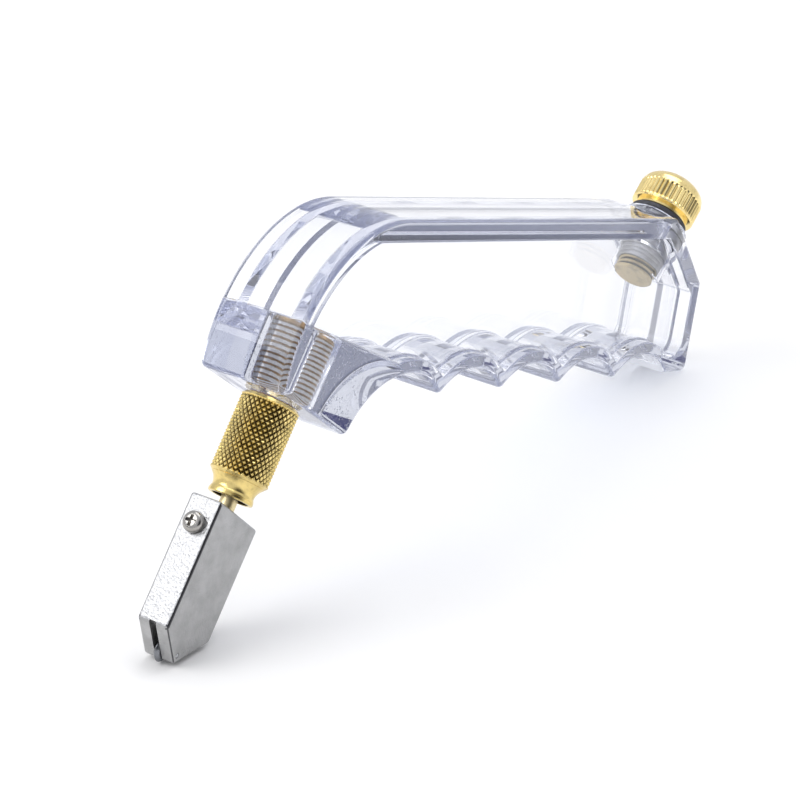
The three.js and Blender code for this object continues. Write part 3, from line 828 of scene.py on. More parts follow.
@dataclass
class Finishes:
    """Every material of the part, made once."""

    acrylic: bpy.types.Material = field(default_factory=lambda: ClearAcrylic().material())
    bond: bpy.types.Material = field(default_factory=lambda: BondLine().material())
    barrel_brass: bpy.types.Material = field(default_factory=lambda: Brass(
        "barrel_brass", (0.86, 0.67, 0.26), (0.038, 0.020, 0.005), 0.17, 1.0, True).material())
    thread_brass: bpy.types.Material = field(default_factory=lambda: SealedThread().material())
    # Near-black brass: painted shade inside the barrel's cup and bore.
    cup_shade_brass: bpy.types.Material = field(default_factory=lambda: Brass(
        "cup_shade_brass", (0.050, 0.032, 0.014), (0.020, 0.012, 0.006), 0.38).material())
    stem_brass: bpy.types.Material = field(default_factory=lambda: Brass(
        "stem_brass", (0.80, 0.68, 0.40), (0.25, 0.17, 0.07), 0.28).material())
    cap_brass: bpy.types.Material = field(default_factory=lambda: Brass(
        "cap_brass", (1.0, 0.80, 0.36), (0.34, 0.20, 0.05), 0.11, 0.8, True).material())
    cap_end_brass: bpy.types.Material = field(default_factory=lambda: Brass(
        "cap_end_brass", (0.60, 0.49, 0.29), (0.03, 0.025, 0.02), 0.42, 1.1, True).material())
    nickel: bpy.types.Material = field(default_factory=lambda: GrainedMetal(
        "nickel_plate", (0.46, 0.46, 0.47), (0.30, 0.30, 0.32), 0.34, 7.0, 0.006).material())
    screw_nickel: bpy.types.Material = field(default_factory=lambda: GrainedMetal(
        "screw_nickel", (0.54, 0.52, 0.49), (0.28, 0.27, 0.25), 0.20, 7.0, 0.006).material())
    zinc: bpy.types.Material = field(default_factory=lambda: GrainedMetal(
        "die_cast_zinc", (0.62, 0.62, 0.62), (0.28, 0.28, 0.28), 0.40, 2.6, 0.16).material())
    # Lighter copy of the zinc for the head's flat front face: painted light where the key light falls, over
    # real hammered facets.
    zinc_front_lit: bpy.types.Material = field(default_factory=lambda: GrainedMetal(
        "die_cast_front_lit", (0.66, 0.66, 0.66), (0.44, 0.44, 0.445), 0.38, 4.0, 0.05, 0.07).material())
    # Near-black copy of the zinc for the head's long rounded front edges: painted shade.
    zinc_edge_shade: bpy.types.Material = field(default_factory=lambda: GrainedMetal(
        "die_cast_edge_shade", (0.15, 0.15, 0.155), (0.06, 0.06, 0.065), 0.30, 3.0, 0.03).material())
    spring_steel: bpy.types.Material = field(default_factory=lambda: GrainedMetal(
        "spring_steel", (0.62, 0.63, 0.64), (0.42, 0.43, 0.45), 0.25, 8.0, 0.004).material())
    carbide: bpy.types.Material = field(default_factory=lambda: GrainedMetal(
        "ground_carbide", (0.33, 0.34, 0.36), (0.20, 0.21, 0.23), 0.3, 9.0, 0.004).material())
    rubber: bpy.types.Material = field(default_factory=lambda: SealRubber().material())

    @property
    def barrel(self) -> tuple[bpy.types.Material, ...]:
        """The barrel's materials: knurl and neck, thread, and the cup and bore, painted near-black as shade
        inside them.
        """
        return self.barrel_brass, self.thread_brass, self.cup_shade_brass


# --- Grip ----------------------------------------------------------------------------------


@dataclass
class Grip:
    """The two clear shells and the filler's boss; lengths in mm, angles in radians.

    x runs rearward along the grip and z square to it, with z = 0 under the finger crests. The
    barrel's axis meets the nose face barrel_setback behind its front corner.
    """

    axes: Axes
    barrel: Axes
    filler: Axes
    width: float = 16.5
    height: float = 30.3
    front_radius: float = 27.7
    front_centre_x: float = 13.0
    nose_length: float = 23.6
    nose_lean: float = math.radians(21.5)
    nose_fillet: float = 1.4
    barrel_setback: float = 11.4
    nose_rear_angle: float = math.radians(60.0)
    finger_radius: float = 15.0
    finger_pitch: float = 21.0
    finger_count: int = 5
    first_crest: float = 34.6
    crest_fillet: float = 1.2
    heel_length: float = 8.7
    heel_fillet: float = 1.5
    vertex_height: float = 17.8
    rear_lean: float = 2.1
    facet_tilt: float = math.radians(38.5)
    top_flange: float = 3.9
    front_flange: float = 2.8
    rear_flange: float = 4.0
    lower_flange: float = 2.6
    recess: float = 2.2
    panel: float = 1.6
    block_height: float = 12.9
    block_tilt: float = math.radians(13.5)
    shank_bore: float = 3.94
    boss_radius: float = 6.4
    boss_height: float = 2.4
    boss_depth: float = 5.0
    bushing_bore: float = 4.96
    outer_edge: float = 1.0
    inner_edge: float = 0.35

    @property
    def nose_front(self) -> np.ndarray:
        """The sharp front corner of the nose face."""
        return np.array([self.front_centre_x - self.front_radius, self.height - self.front_radius])

    @property
    def nose_rear(self) -> np.ndarray:
        """The sharp rear corner of the nose face."""
        along = np.array([math.cos(self.nose_lean), -math.sin(self.nose_lean)])
        return self.nose_front + self.nose_length * along

    @property
    def rear_foot(self) -> np.ndarray:
        """The sharp lower corner of the heel."""
        last_crest = self.first_crest + (self.finger_count - 1) * self.finger_pitch
        return np.array([last_crest + self.heel_length, 0.0])

    @property
    def rear_vertex(self) -> np.ndarray:
        """The corner between the rear edge and the facet."""
        return self.rear_foot + np.array([-self.rear_lean, self.vertex_height])

    @property
    def rear_angle(self) -> float:
        """Direction of travel up the rear edge."""
        across = self.rear_vertex - self.rear_foot
        return math.atan2(across[1], across[0])

    @property
    def facet_angle(self) -> float:
        """Direction of travel up the facet."""
        return math.pi - self.facet_tilt

    def finger_centre(self, k: int) -> tuple[float, float]:
        """Centre of finger circle k, which touches the crest fillets on both sides of it."""
        drop = math.sqrt((self.finger_radius + self.crest_fillet) ** 2 - (self.finger_pitch / 2) ** 2)
        return self.first_crest + (k - 0.5) * self.finger_pitch, self.crest_fillet - drop

    @property
    def nose_spread(self) -> float:
        """Stretch of the first arch's front half, so that it meets the nose's rear fillet."""
        centre = self.finger_centre(0)
        rise = self.nose_rear[1] + self.nose_fillet - centre[1]
        meet_x = self.nose_rear[0] + self.nose_fillet / math.tan(self.nose_rear_angle)
        return (centre[0] - meet_x) / math.sqrt(self.finger_radius ** 2 - rise ** 2)

    def arches(self, depth: float, steps: int = 26) -> np.ndarray:
        """The finger arches from nose to heel, depth mm into the wall.

        On the surface (depth 0) each circle runs into a crest fillet; deeper, neighbouring
        circles of radius finger_radius + depth cross in a valley.
        """
        radius = self.finger_radius + depth
        drop = self.crest_fillet - self.finger_centre(0)[1]
        crest_half = math.atan2(self.finger_pitch / 2, drop)
        leave = math.acos(self.finger_pitch / 2 / radius) if depth > 0 else math.pi / 2 - crest_half
        parts = []
        for k in range(self.finger_count):
            centre = self.finger_centre(k)
            entry = math.asin((self.nose_rear[1] + self.nose_fillet - centre[1]) / radius)
            enter = math.pi - (entry if k == 0 else leave)
            curve = arc(centre, radius, enter, leave, steps)
            if k == 0:
                front = curve[:, 0] < centre[0]
                curve[front, 0] = centre[0] + (curve[front, 0] - centre[0]) * self.nose_spread
            parts.append(curve)
            if depth == 0:
                crest = (self.first_crest + k * self.finger_pitch, self.crest_fillet)
                last = k == self.finger_count - 1
                end = -math.pi / 2 + (0.0 if last else crest_half)
                parts.append(arc(crest, self.crest_fillet, -math.pi / 2 - crest_half, end, 8))
        points = np.concatenate(parts)
        keep = np.concatenate([[True], np.linalg.norm(np.diff(points, axis=0), axis=1) > 1e-3])
        return points[keep]

    def outline(self) -> np.ndarray:
        """The side outline of the whole grip, anticlockwise from the front of the nose face."""
        facet_top = meet(self.rear_vertex, self.facet_angle, (0.0, self.height), 0.0)
        centre = (self.front_centre_x, self.height - self.front_radius)
        return np.concatenate([
            fillet(self.nose_front, -math.pi / 2, -self.nose_lean, self.nose_fillet),
            fillet(self.nose_rear, -self.nose_lean, self.nose_rear_angle, self.nose_fillet),
            self.arches(0.0)[1:],
            fillet(self.rear_foot, 0.0, self.rear_angle, self.heel_fillet),
            fillet(self.rear_vertex, self.rear_angle, self.facet_angle, self.heel_fillet),
            fillet(facet_top, self.facet_angle, math.pi, self.heel_fillet),
            arc(centre, self.front_radius, math.pi / 2, math.pi - self.nose_fillet / self.front_radius, 72),
        ])

    def window(self) -> np.ndarray:
        """The outline of the windows and of the oil space: the grip less its flanges."""
        inner = self.front_radius - self.front_flange
        top_z = self.height - self.top_flange
        centre = (self.front_centre_x, self.height - self.front_radius)
        rear = (self.rear_foot[0] - self.rear_flange, 0.0)
        inward = np.array([math.sin(self.facet_tilt), math.cos(self.facet_tilt)])
        facet = self.rear_vertex - self.rear_flange * inward
        lower = (0.0, self.lower_flange + self.crest_fillet / 2)
        front_top = math.asin((top_z - centre[1]) / inner)
        low_rear = meet(lower, 0.0, rear, self.rear_angle)
        rear_facet = meet(rear, self.rear_angle, facet, self.facet_angle)
        facet_top = meet(facet, self.facet_angle, (0.0, top_z), 0.0)
        return np.concatenate([
            self.arches(self.lower_flange),
            fillet(low_rear, 0.0, self.rear_angle, 2 * self.heel_fillet),
            fillet(rear_facet, self.rear_angle, self.facet_angle, self.heel_fillet),
            fillet(facet_top, self.facet_angle, math.pi, self.heel_fillet),
            arc(centre, inner, math.pi - front_top, math.pi, 60),
            np.array([[centre[0] - inner, self.nose_rear[1] + self.nose_fillet]]),
        ])

    def block(self) -> bpy.types.Mesh:
        """The solid nose under the windows, its top falling rearward, right across the grip."""
        base_x = self.nose_front[0] + self.barrel_setback * math.cos(self.nose_lean)
        base_z = self.nose_front[1] - self.barrel_setback * math.sin(self.nose_lean)
        top_x = base_x + self.block_height * math.sin(self.nose_lean)
        top_z = base_z + self.block_height * math.cos(self.nose_lean)
        front = self.nose_front[0] - CUT_OVERRUN
        rear = self.first_crest - self.finger_pitch / 4
        slope = math.tan(self.block_tilt)
        low = self.nose_rear[1] - 8.0
        corners = np.array([
            [front, low],
            [rear, low],
            [rear, top_z - (rear - top_x) * slope],
            [front, top_z - (front - top_x) * slope],
        ])
        return prism(self.axes, corners, -self.width, self.width)

    def bore(self, axes: Axes, radius: float, low: float, high: float) -> bpy.types.Mesh:
        """A plain round bar about a frame's z axis, to cut or join with."""
        return revolve(axes, np.array([[radius, low], [radius, high]]), 96)

    def side_box(self, side: int, bond: bpy.types.Material) -> bpy.types.Mesh:
        """All the space on one side of the bond plane; its faces take the bond's material."""
        corners = np.array([[-60.0, -60.0], [190.0, -60.0], [190.0, 90.0], [-60.0, 90.0]])
        near, far = sorted((side * SEAM_AIR, side * self.width))
        box = prism(self.axes, corners, near, far)
        box.materials.append(bond)
        return box

    def whole(self) -> bpy.types.Mesh:
        """Both shells as one body: outline, windows, oil space, bores and boss, edges rounded."""
        half = self.width / 2
        floor = half - self.recess
        inner = floor - self.panel
        window = self.window()
        near_window = combine(
            prism(self.axes, window, -half - 3.0, -floor), (Operation.CUT, self.block()))
        far_window = combine(
            prism(self.axes, window, floor, half + 3.0), (Operation.CUT, self.block()))
        oil = combine(
            prism(self.axes, window, -inner, inner),
            (Operation.CUT, self.block()),
            (Operation.CUT, self.bore(self.filler, self.boss_radius, -self.boss_depth, self.boss_height)),
        )
        barrel_hole = self.bore(self.barrel, self.shank_bore, -CUT_OVERRUN, self.block_height + CUT_OVERRUN)
        low, high = -self.boss_depth - CUT_OVERRUN, self.boss_height + CUT_OVERRUN
        filler_hole = self.bore(self.filler, self.bushing_bore, low, high)
        body = combine(
            soften(prism(self.axes, self.outline(), -half, half), self.outer_edge, 6, 60.0),
            (Operation.JOIN, self.bore(self.filler, self.boss_radius, -self.boss_depth, self.boss_height)),
            (Operation.CUT, near_window),
            (Operation.CUT, far_window),
            (Operation.CUT, oil),
            (Operation.CUT, barrel_hole),
            (Operation.CUT, filler_hole),
        )
        return soften(body, self.inner_edge)

    def build(self, finishes: Finishes) -> None:
        """Make both shells.

        Args:
            finishes: the part's materials.
        """
        whole = self.whole()
        for side, node in ((-1, "handle_left_half"), (1, "handle_right_half")):
            shell = whole.copy()
            shell.materials.clear()
            shell.materials.append(finishes.acrylic)
            shell = combine(shell, (Operation.KEEP, self.side_box(side, finishes.bond)))
            placement = Placement("grip", "acrylic", (node,))
            finished(node.replace("half", "shell"), shell, (finishes.acrylic, finishes.bond), placement, True)
        bpy.data.meshes.remove(whole)


# --- Barrel and oil valve ------------------------------------------------------------------


def rows(*stretches: tuple[tuple[float, float], tuple[float, float], int]) -> np.ndarray:
    """A profile of straight stretches, each cut into equal steps.

    Args:
        stretches: first point, last point and number of steps of each stretch.

    Returns:
        Array of (n, 2), radius and height in mm.
    """
    parts = [np.linspace(first, last, steps + 1)[:-1] for first, last, steps in stretches]
    return np.concatenate([*parts, np.array([stretches[-1][1]], float)])


def sawtooth(phase: np.ndarray) -> np.ndarray:
    """Triangle wave of period 1: 0 at whole numbers, 1 half way between them."""
    return 1.0 - np.abs(2.0 * (phase - np.floor(phase)) - 1.0)


@dataclass
class Barrel:
    """The knurled brass barrel; heights in mm up its axis from the nose face."""

    axes: Axes
    radius: float = 5.0
    top: float = -0.15
    knurl_length: float = 13.8
    chamfer: float = 0.5
    neck_length: float = 3.2
    neck_radius: float = 3.6
    rim_radius: float = 3.85
    rim: float = 0.6
    cup_radius: float = 3.1
    cup_depth: float = 2.6
    shank_radius: float = 3.9
    shank_length: float = 12.2
    bore: float = 1.53
    chamber: float = 2.5
    chamber_floor: float = -5.0
    knurls: int = 30
    knurl_depth: float = 0.46
    thread_pitch: float = 0.8
    thread_depth: float = 0.45

    @property
    def knurl_bottom(self) -> float:
        """Height of the knurl's lower end."""
        return self.top - self.knurl_length

    @property
    def rim_face(self) -> float:
        """Height of the rim's lower face."""
        return self.knurl_bottom - self.neck_length

    def relief(self, angle: np.ndarray, height: np.ndarray, radius: np.ndarray) -> np.ndarray:
        """Depth taken off the plain barrel.

        On the grip two families of V grooves cross: with turns = knurls * angle / 2pi and
        lift = height / cell, the depth is the larger of saw(turns + lift) and
        saw(turns - lift), which leaves four-sided points. On the shank the depth is
        saw(height / pitch - angle / 2pi), a helix. Both fade out at their ends.
        """
        turns = self.knurls * angle / TAU
        cell = TAU * self.radius / self.knurls * 1.15
        lift = height / cell
        points = np.maximum(sawtooth(turns + lift), sawtooth(turns - lift)) ** 1.3
        on_grip = (radius > self.radius - 0.02) & (height < self.top)
        fade = np.clip((self.top - self.chamfer - height) / 0.3, 0, 1)
        fade = fade * np.clip((height - self.knurl_bottom - self.chamfer) / 0.3, 0, 1)
        thread = sawtooth(height / self.thread_pitch - angle / TAU)
        on_shank = (np.abs(radius - self.shank_radius) < 0.02) & (height > self.top)
        end = np.clip((self.shank_length - 0.5 - height) / 0.4, 0, 1) * np.clip((height - 0.3) / 0.4, 0, 1)
        return np.where(on_grip, self.knurl_depth * points * fade, 0.0) + np.where(
            on_shank, self.thread_depth * thread * end, 0.0)

    def profile(self) -> np.ndarray:
        """Closed profile: cup, rim, bell-shaped neck, knurl, shoulder, shank and chamber.

        Above the waist the neck's radius is neck_radius + rise * share ** 2.2, a curve that
        steepens towards the knurl; below it, it flares to the rim in a quarter cosine.
        """
        neck_top = self.knurl_bottom
        neck_low = self.rim_face + self.rim
        waist = self.rim_face + 2 * self.rim
        flare = np.linspace(0.0, 1.0, 7)[:-1]
        share = np.linspace(0.0, 1.0, 18)
        rise = self.radius - 0.45 - self.neck_radius
        neck = np.concatenate([
            np.stack([
                self.neck_radius + (self.rim_radius - 0.05 - self.neck_radius) * np.cos(flare * np.pi / 2),
                neck_low + (waist - neck_low) * flare,
            ], axis=1),
            np.stack([self.neck_radius + rise * share ** 2.2, waist + (neck_top - waist) * share], axis=1),
        ])
        knurl_rows = int(self.knurl_length * 8)
        thread_rows = int(self.shank_length * 9)
        low = rows(
            (
                (self.bore, self.rim_face + self.cup_depth),
                (self.cup_radius, self.rim_face + self.cup_depth),
                3,
            ),
            ((self.cup_radius, self.rim_face + self.cup_depth), (self.cup_radius, self.rim_face + 0.15), 6),
            ((self.cup_radius, self.rim_face + 0.15), (self.cup_radius + 0.15, self.rim_face), 2),
            ((self.cup_radius + 0.15, self.rim_face), (self.rim_radius - 0.15, self.rim_face), 2),
            ((self.rim_radius - 0.15, self.rim_face), (self.rim_radius, self.rim_face + 0.15), 3),
            ((self.rim_radius, self.rim_face + 0.15), (self.rim_radius, neck_low - 0.05), 3),
        )
        high = rows(
            ((self.radius - self.chamfer, neck_top), (self.radius, neck_top + self.chamfer), 4),
            ((self.radius, neck_top + self.chamfer), (self.radius, self.top - self.chamfer), knurl_rows),
            ((self.radius, self.top - self.chamfer), (self.radius - self.chamfer, self.top), 4),
            ((self.radius - self.chamfer, self.top), (self.shank_radius, self.top), 2),
            ((self.shank_radius, self.top), (self.shank_radius, self.shank_length - 0.5), thread_rows),
            ((self.shank_radius, self.shank_length - 0.5), (self.shank_radius - 0.5, self.shank_length), 3),
            ((self.shank_radius - 0.5, self.shank_length), (self.chamber, self.shank_length), 2),
            ((self.chamber, self.shank_length), (self.chamber, self.chamber_floor), 4),
            ((self.chamber, self.chamber_floor), (self.bore, self.chamber_floor), 2),
        )
        points = np.concatenate([low, neck, high])
        keep = np.concatenate([[True], np.linalg.norm(np.diff(points, axis=0), axis=1) > 1e-4])
        return points[keep]

    def build(self, finishes: Finishes) -> None:
        """Make the barrel."""
        mesh = revolve(self.axes, self.profile(), self.knurls * 8, True, self.relief)
        placement = Placement("grip", "barrel_brass", ("knurled_barrel",))
        barrel = finished("brass_barrel", mesh, finishes.barrel, placement)
        height = heights_of(barrel.data, self.axes)
        # The cup and the bore above it take the near-black brass: painted shade inside them.
        cup = (radii_of(barrel.data, self.axes) < self.cup_radius + 0.05) & (height < self.chamber_floor)
        index = np.where(height > self.top + 0.05, 1, np.where(cup, 2, 0))
        barrel.data.polygons.foreach_set("material_index", index.astype(np.int32))


@dataclass
class OilValve:
    """The sprung stem inside the barrel; heights in mm up the barrel's axis."""

    axes: Axes
    stem_radius: float = 1.45
    stem_bore: float = 0.6
    foot: float = -28.25
    groove: float = -23.35
    groove_radius: float = 0.95
    flange_radius: float = 2.3
    flange_bottom: float = -3.9
    flange_top: float = -2.7
    seal_bottom: float = -4.85
    seal_top: float = -4.05
    spring_low: float = -2.3
    spring_high: float = 9.6
    spring_radius: float = 1.8
    spring_wire: float = 0.25
    spring_turns: float = 7.0
    retainer_bottom: float = 10.0
    retainer_top: float = 11.7
    retainer_radius: float = 2.42
    retainer_bore: float = 1.0

    def stem(self) -> bpy.types.Mesh:
        """Tube with a valve flange, a soft shoulder under the rim and a groove for the screw."""
        r = self.stem_radius
        g = self.groove_radius
        profile = np.array([
            [self.stem_bore, self.foot], [r - 0.15, self.foot], [r, self.foot + 0.15],
            [r, self.groove - 1.1], [g, self.groove - 1.05], [g, self.groove + 1.05], [r, self.groove + 1.1],
            [r, self.flange_bottom], [self.flange_radius - 0.1, self.flange_bottom],
            [self.flange_radius, self.flange_bottom + 0.1], [self.flange_radius, self.flange_top - 0.1],
            [self.flange_radius - 0.1, self.flange_top], [self.stem_bore, self.flange_top],
        ])
        return revolve(self.axes, profile, 64, True)

    def ring(self, inner: float, outer: float, low: float, high: float) -> bpy.types.Mesh:
        """Ring whose section is a rectangle with round corners."""
        corner = min(0.3 * (high - low), 0.3 * (outer - inner))
        return revolve(self.axes, rounded_section(inner, outer, low, high, corner), 64, True)

    def spring(self) -> bpy.types.Mesh:
        """Coil: a wire circle carried along (R cos a, R sin a, rise * a).

        Each wire circle lies in the plane of the outward radius and the axis.
        """
        along = np.linspace(0.0, 1.0, int(self.spring_turns * 40))
        angle = TAU * self.spring_turns * along
        z = self.spring_low + (self.spring_high - self.spring_low) * along
        section = np.linspace(0.0, TAU, 12, endpoint=False)
        out = self.spring_radius + self.spring_wire * np.cos(section)[None, :]
        points = np.stack([
            out * np.cos(angle)[:, None],
            out * np.sin(angle)[:, None],
            z[:, None] + self.spring_wire * np.sin(section)[None, :],
        ], axis=-1)
        count, sides = points.shape[:2]
        faces = grid_faces(count, sides, False)
        faces += [list(range(sides)), list(range(count * sides - 1, (count - 1) * sides - 1, -1))]
        return mesh_from(self.axes.place(points.reshape(-1, 3)), faces)

    def build(self, finishes: Finishes) -> None:
        """Make the stem, its seal, the spring and its retainer."""
        placement = Placement("stem", "stem_brass", ("head_stem",))
        finished("valve_stem", self.stem(), (finishes.stem_brass,), placement)
        seal = self.ring(self.stem_radius + 0.08, self.flange_radius, self.seal_bottom, self.seal_top)
        finished("stem_seal_ring", seal, (finishes.rubber,), Placement("stem", "rubber", ("stem_seal",)))
        spring = Placement("grip", "spring_steel", ("valve_spring",))
        finished("stem_spring", self.spring(), (finishes.spring_steel,), spring)
        plug = self.ring(self.retainer_bore, self.retainer_radius, self.retainer_bottom, self.retainer_top)
        placement = Placement("grip", "stem_brass", ("spring_retainer",))
        finished("spring_plug", plug, (finishes.stem_brass,), placement)


def rounded_section(inner: float, outer: float, low: float, high: float, corner: float) -> np.ndarray:
    """A rectangle with round corners, as a closed profile of radius and height."""
    return np.concatenate([
        fillet((outer, low), 0.0, math.pi / 2, corner, 4),
        fillet((outer, high), math.pi / 2, math.pi, corner, 4),
        fillet((inner, high), math.pi, -math.pi / 2, corner, 4),
        fillet((inner, low), -math.pi / 2, 0.0, corner, 4),
    ])


# --- Cutter head ---------------------------------------------------------------------------


@dataclass
class CutterHead:
    """The die-cast head, its screw, axle and wheel, in mm in the barrel's frame."""

    axes: Axes
    wheel_axes: Axes
    rim_face: float = -17.15
    thickness: float = 6.0
    front: float = 6.55
    rear: float = 6.85
    top_front: float = 1.6
    top_rear: float = 2.6
    front_length: float = 21.6
    rear_length: float = 19.6
    point: float = 27.8
    point_x: float = -0.4
    edge: float = 0.5
    stem_hole: float = 1.53
    stem_depth: float = 11.4
    screw_height: float = 6.2
    screw_radius: float = 1.0
    screw_head: float = 1.8
    screw_rise: float = 1.2
    standoff: float = 0.5
    recess: float = 0.55
    wheel_radius: float = 2.0
    wheel_half: float = 0.55
    slot_half: float = 0.67
    slot_reach: float = 2.35
    slot_notch: float = 0.35
    axle_radius: float = 0.4
    axle_x: float = -0.6
    axle_rise: float = 1.5

    @property
    def axle_z(self) -> float:
        """Height of the axle in the barrel's frame."""
        return self.rim_face - self.point + self.axle_rise

    def screw_axes(self) -> Axes:
        """Frame at the front face whose z points out of the screw, towards the front."""
        centre = self.axes.place(np.array([-self.front, 0.0, self.rim_face - self.screw_height]))
        return Axes(centre, -self.axes.rearward)

    def cross_axes(self, x: float, z: float) -> "CrossAxes":
        """Frame whose z runs across the part through a point of the barrel's frame."""
        return CrossAxes(self.axes.place(np.array([x, 0.0, z])), self.axes.up)

    def body(self) -> bpy.types.Mesh:
        """Five-sided plate, holed for stem, axle and screw, slotted for the wheel."""
        outline = np.array([
            [-self.front, self.rim_face - self.top_front],
            [-self.front, self.rim_face - self.top_front - self.front_length],
            [self.point_x, self.rim_face - self.point],
            [self.rear, self.rim_face - self.top_rear - self.rear_length],
            [self.rear, self.rim_face - self.top_rear],
        ])
        half = self.thickness / 2
        far_front = -self.front - CUT_OVERRUN
        end = self.axle_x + self.slot_reach
        notch = self.rim_face - self.top_front - self.front_length + self.slot_notch
        slot_outline = np.concatenate([
            np.array([[far_front, self.axle_z - 20.0], [end, self.axle_z - 20.0]]),
            arc((self.axle_x, self.axle_z), self.slot_reach, 0.0, math.pi / 2, 16),
            np.array([[-self.front, notch], [far_front, notch]]),
        ])
        top = self.rim_face + 2.0
        stem_hole = np.array([[self.stem_hole, top - self.stem_depth - 3.0], [self.stem_hole, top]])
        cross = self.cross_axes(self.axle_x, self.axle_z)
        axle_hole = np.array([[self.axle_radius + 0.04, -6.0], [self.axle_radius + 0.04, 6.0]])
        screw_hole = np.array([[self.screw_radius + 0.08, -self.front], [self.screw_radius + 0.08, 3.0]])
        plate = soften(prism(self.axes, outline, -half, half), self.edge)
        return combine(
            plate,
            (Operation.CUT, revolve(self.axes, stem_hole, 48)),
            (Operation.CUT, prism(self.axes, slot_outline, -self.slot_half, self.slot_half)),
            (Operation.CUT, revolve(cross, axle_hole, 32)),
            (Operation.CUT, revolve(self.screw_axes(), screw_hole, 32)),
        )

    def paint_front(self, mesh: bpy.types.Mesh) -> None:
        """Give the flat front face the second material, a lighter copy of the zinc with painted light, and
        its long rounded edges the third, a near-black copy with painted shade.
        """
        flat = np.empty(len(mesh.polygons) * 3)
        mesh.polygons.foreach_get("normal", flat)
        normals = flat.reshape(-1, 3)
        forward = normals @ -self.axes.rearward
        sideways = np.abs(normals[:, 1])
        # Rounded edges between front and sides, picked by normal, take the near-black copy: painted shade.
        edges = (forward > 0.25) & (sideways > 0.3) & (sideways < 0.97)
        mesh.polygons.foreach_set("material_index", np.where(edges, 2, forward > 0.95).astype(np.int32))

    def screw(self) -> bpy.types.Mesh:
        """Pan-head screw: a low dome over a shank, with a tapered cross recess.

        The dome's radius and height follow a quarter of a superellipse.
        """
        a = np.linspace(0.0, math.pi / 2, 14)
        dome = np.stack([
            self.screw_head * np.cos(a) ** 0.55,
            self.standoff + 0.25 + (self.screw_rise - 0.25) * np.sin(a) ** 0.9,
        ], axis=1)
        dome[-1, 0] = 0.05
        shank = np.array([
            [0.02, -5.3], [self.screw_radius, -5.2], [self.screw_radius, self.standoff],
            [self.screw_head - 0.05, self.standoff], [self.screw_head, self.standoff + 0.07],
        ])
        body = revolve(self.screw_axes(), np.concatenate([shank, dome]), 64)
        reach = self.screw_head * 0.66
        top = self.standoff + self.screw_rise
        for turn in (0.0, math.pi / 2):
            body = combine(body, (Operation.CUT, self.cross_blade(turn, reach, top)))
        return soften(body, 0.04, 2, 50.0)

    def cross_blade(self, turn: float, reach: float, top: float) -> bpy.types.Mesh:
        """One blade of the cross: a wedge that narrows to 0.35 of its length, 1 mm down."""
        low, high = top - 0.95, top + 0.5
        half = self.recess / 2
        ring = np.array([[-1.0, -1.0], [1.0, -1.0], [1.0, 1.0], [-1.0, 1.0]])
        bottom = np.column_stack([ring * [reach * 0.35, half * 0.7], np.full(4, low)])
        upper = np.column_stack([ring * [reach * 1.15, half * 1.15], np.full(4, high)])
        points = np.concatenate([bottom, upper])
        c, s = math.cos(turn), math.sin(turn)
        points[:, :2] = points[:, :2] @ np.array([[c, s], [-s, c]])
        faces = grid_faces(2, 4, False) + [[0, 1, 2, 3], [7, 6, 5, 4]]
        return mesh_from(self.screw_axes().place(points), faces)

    def wheel(self) -> bpy.types.Mesh:
        """Disc with a V edge and a small radius where the bevels start."""
        bore = self.axle_radius + 0.08
        flat = self.wheel_radius - 0.5
        h = self.wheel_half
        profile = np.array([
            [bore + 0.06, -h], [flat - 0.05, -h], [flat, -h + 0.02], [self.wheel_radius, -0.03],
            [self.wheel_radius, 0.03], [flat, h - 0.02], [flat - 0.05, h], [bore + 0.06, h],
            [bore, h - 0.06], [bore, -h + 0.06],
        ])
        return revolve(CrossAxes(self.wheel_axes.origin, self.axes.up), profile, 128, True)

    def axle(self) -> bpy.types.Mesh:
        """Pin across the head, its ends lightly chamfered."""
        half = self.thickness / 2
        r = self.axle_radius
        profile = np.array([[r - 0.1, -half], [r, -half + 0.1], [r, half - 0.1], [r - 0.1, half]])
        return revolve(self.cross_axes(self.axle_x, self.axle_z), profile, 48)

    def build(self, finishes: Finishes) -> None:
        """Make the head, its screw, axle and wheel."""
        body = self.body()
        placement = Placement("head", "zinc", ("cutter_head",))
        dressing = (finishes.zinc, finishes.zinc_front_lit, finishes.zinc_edge_shade)
        head = finished("head_body", body, dressing, placement, True)
        self.paint_front(head.data)
        screw = Placement("head", "nickel", ("head_screw",))
        finished("clamp_screw", self.screw(), (finishes.screw_nickel,), screw, True)
        placement = Placement("head", "spring_steel", ("wheel_axle",))
        finished("axle_pin", self.axle(), (finishes.spring_steel,), placement)
        placement = Placement("wheel", "carbide", ("cutting_wheel",))
        finished("scoring_wheel", self.wheel(), (finishes.carbide,), placement)


@dataclass(frozen=True)
class CrossAxes(Axes):
    """A frame whose z runs across the part, along the row's y."""

    def place(self, points: np.ndarray) -> np.ndarray:
        """Points as origin + x * rearward + y * up - z * across, in metres."""
        across = np.array([0.0, -1.0, 0.0])
        turn = np.stack([self.rearward, self.up, across])
        return self.origin + (points @ turn) * MM


# --- Filler --------------------------------------------------------------------------------


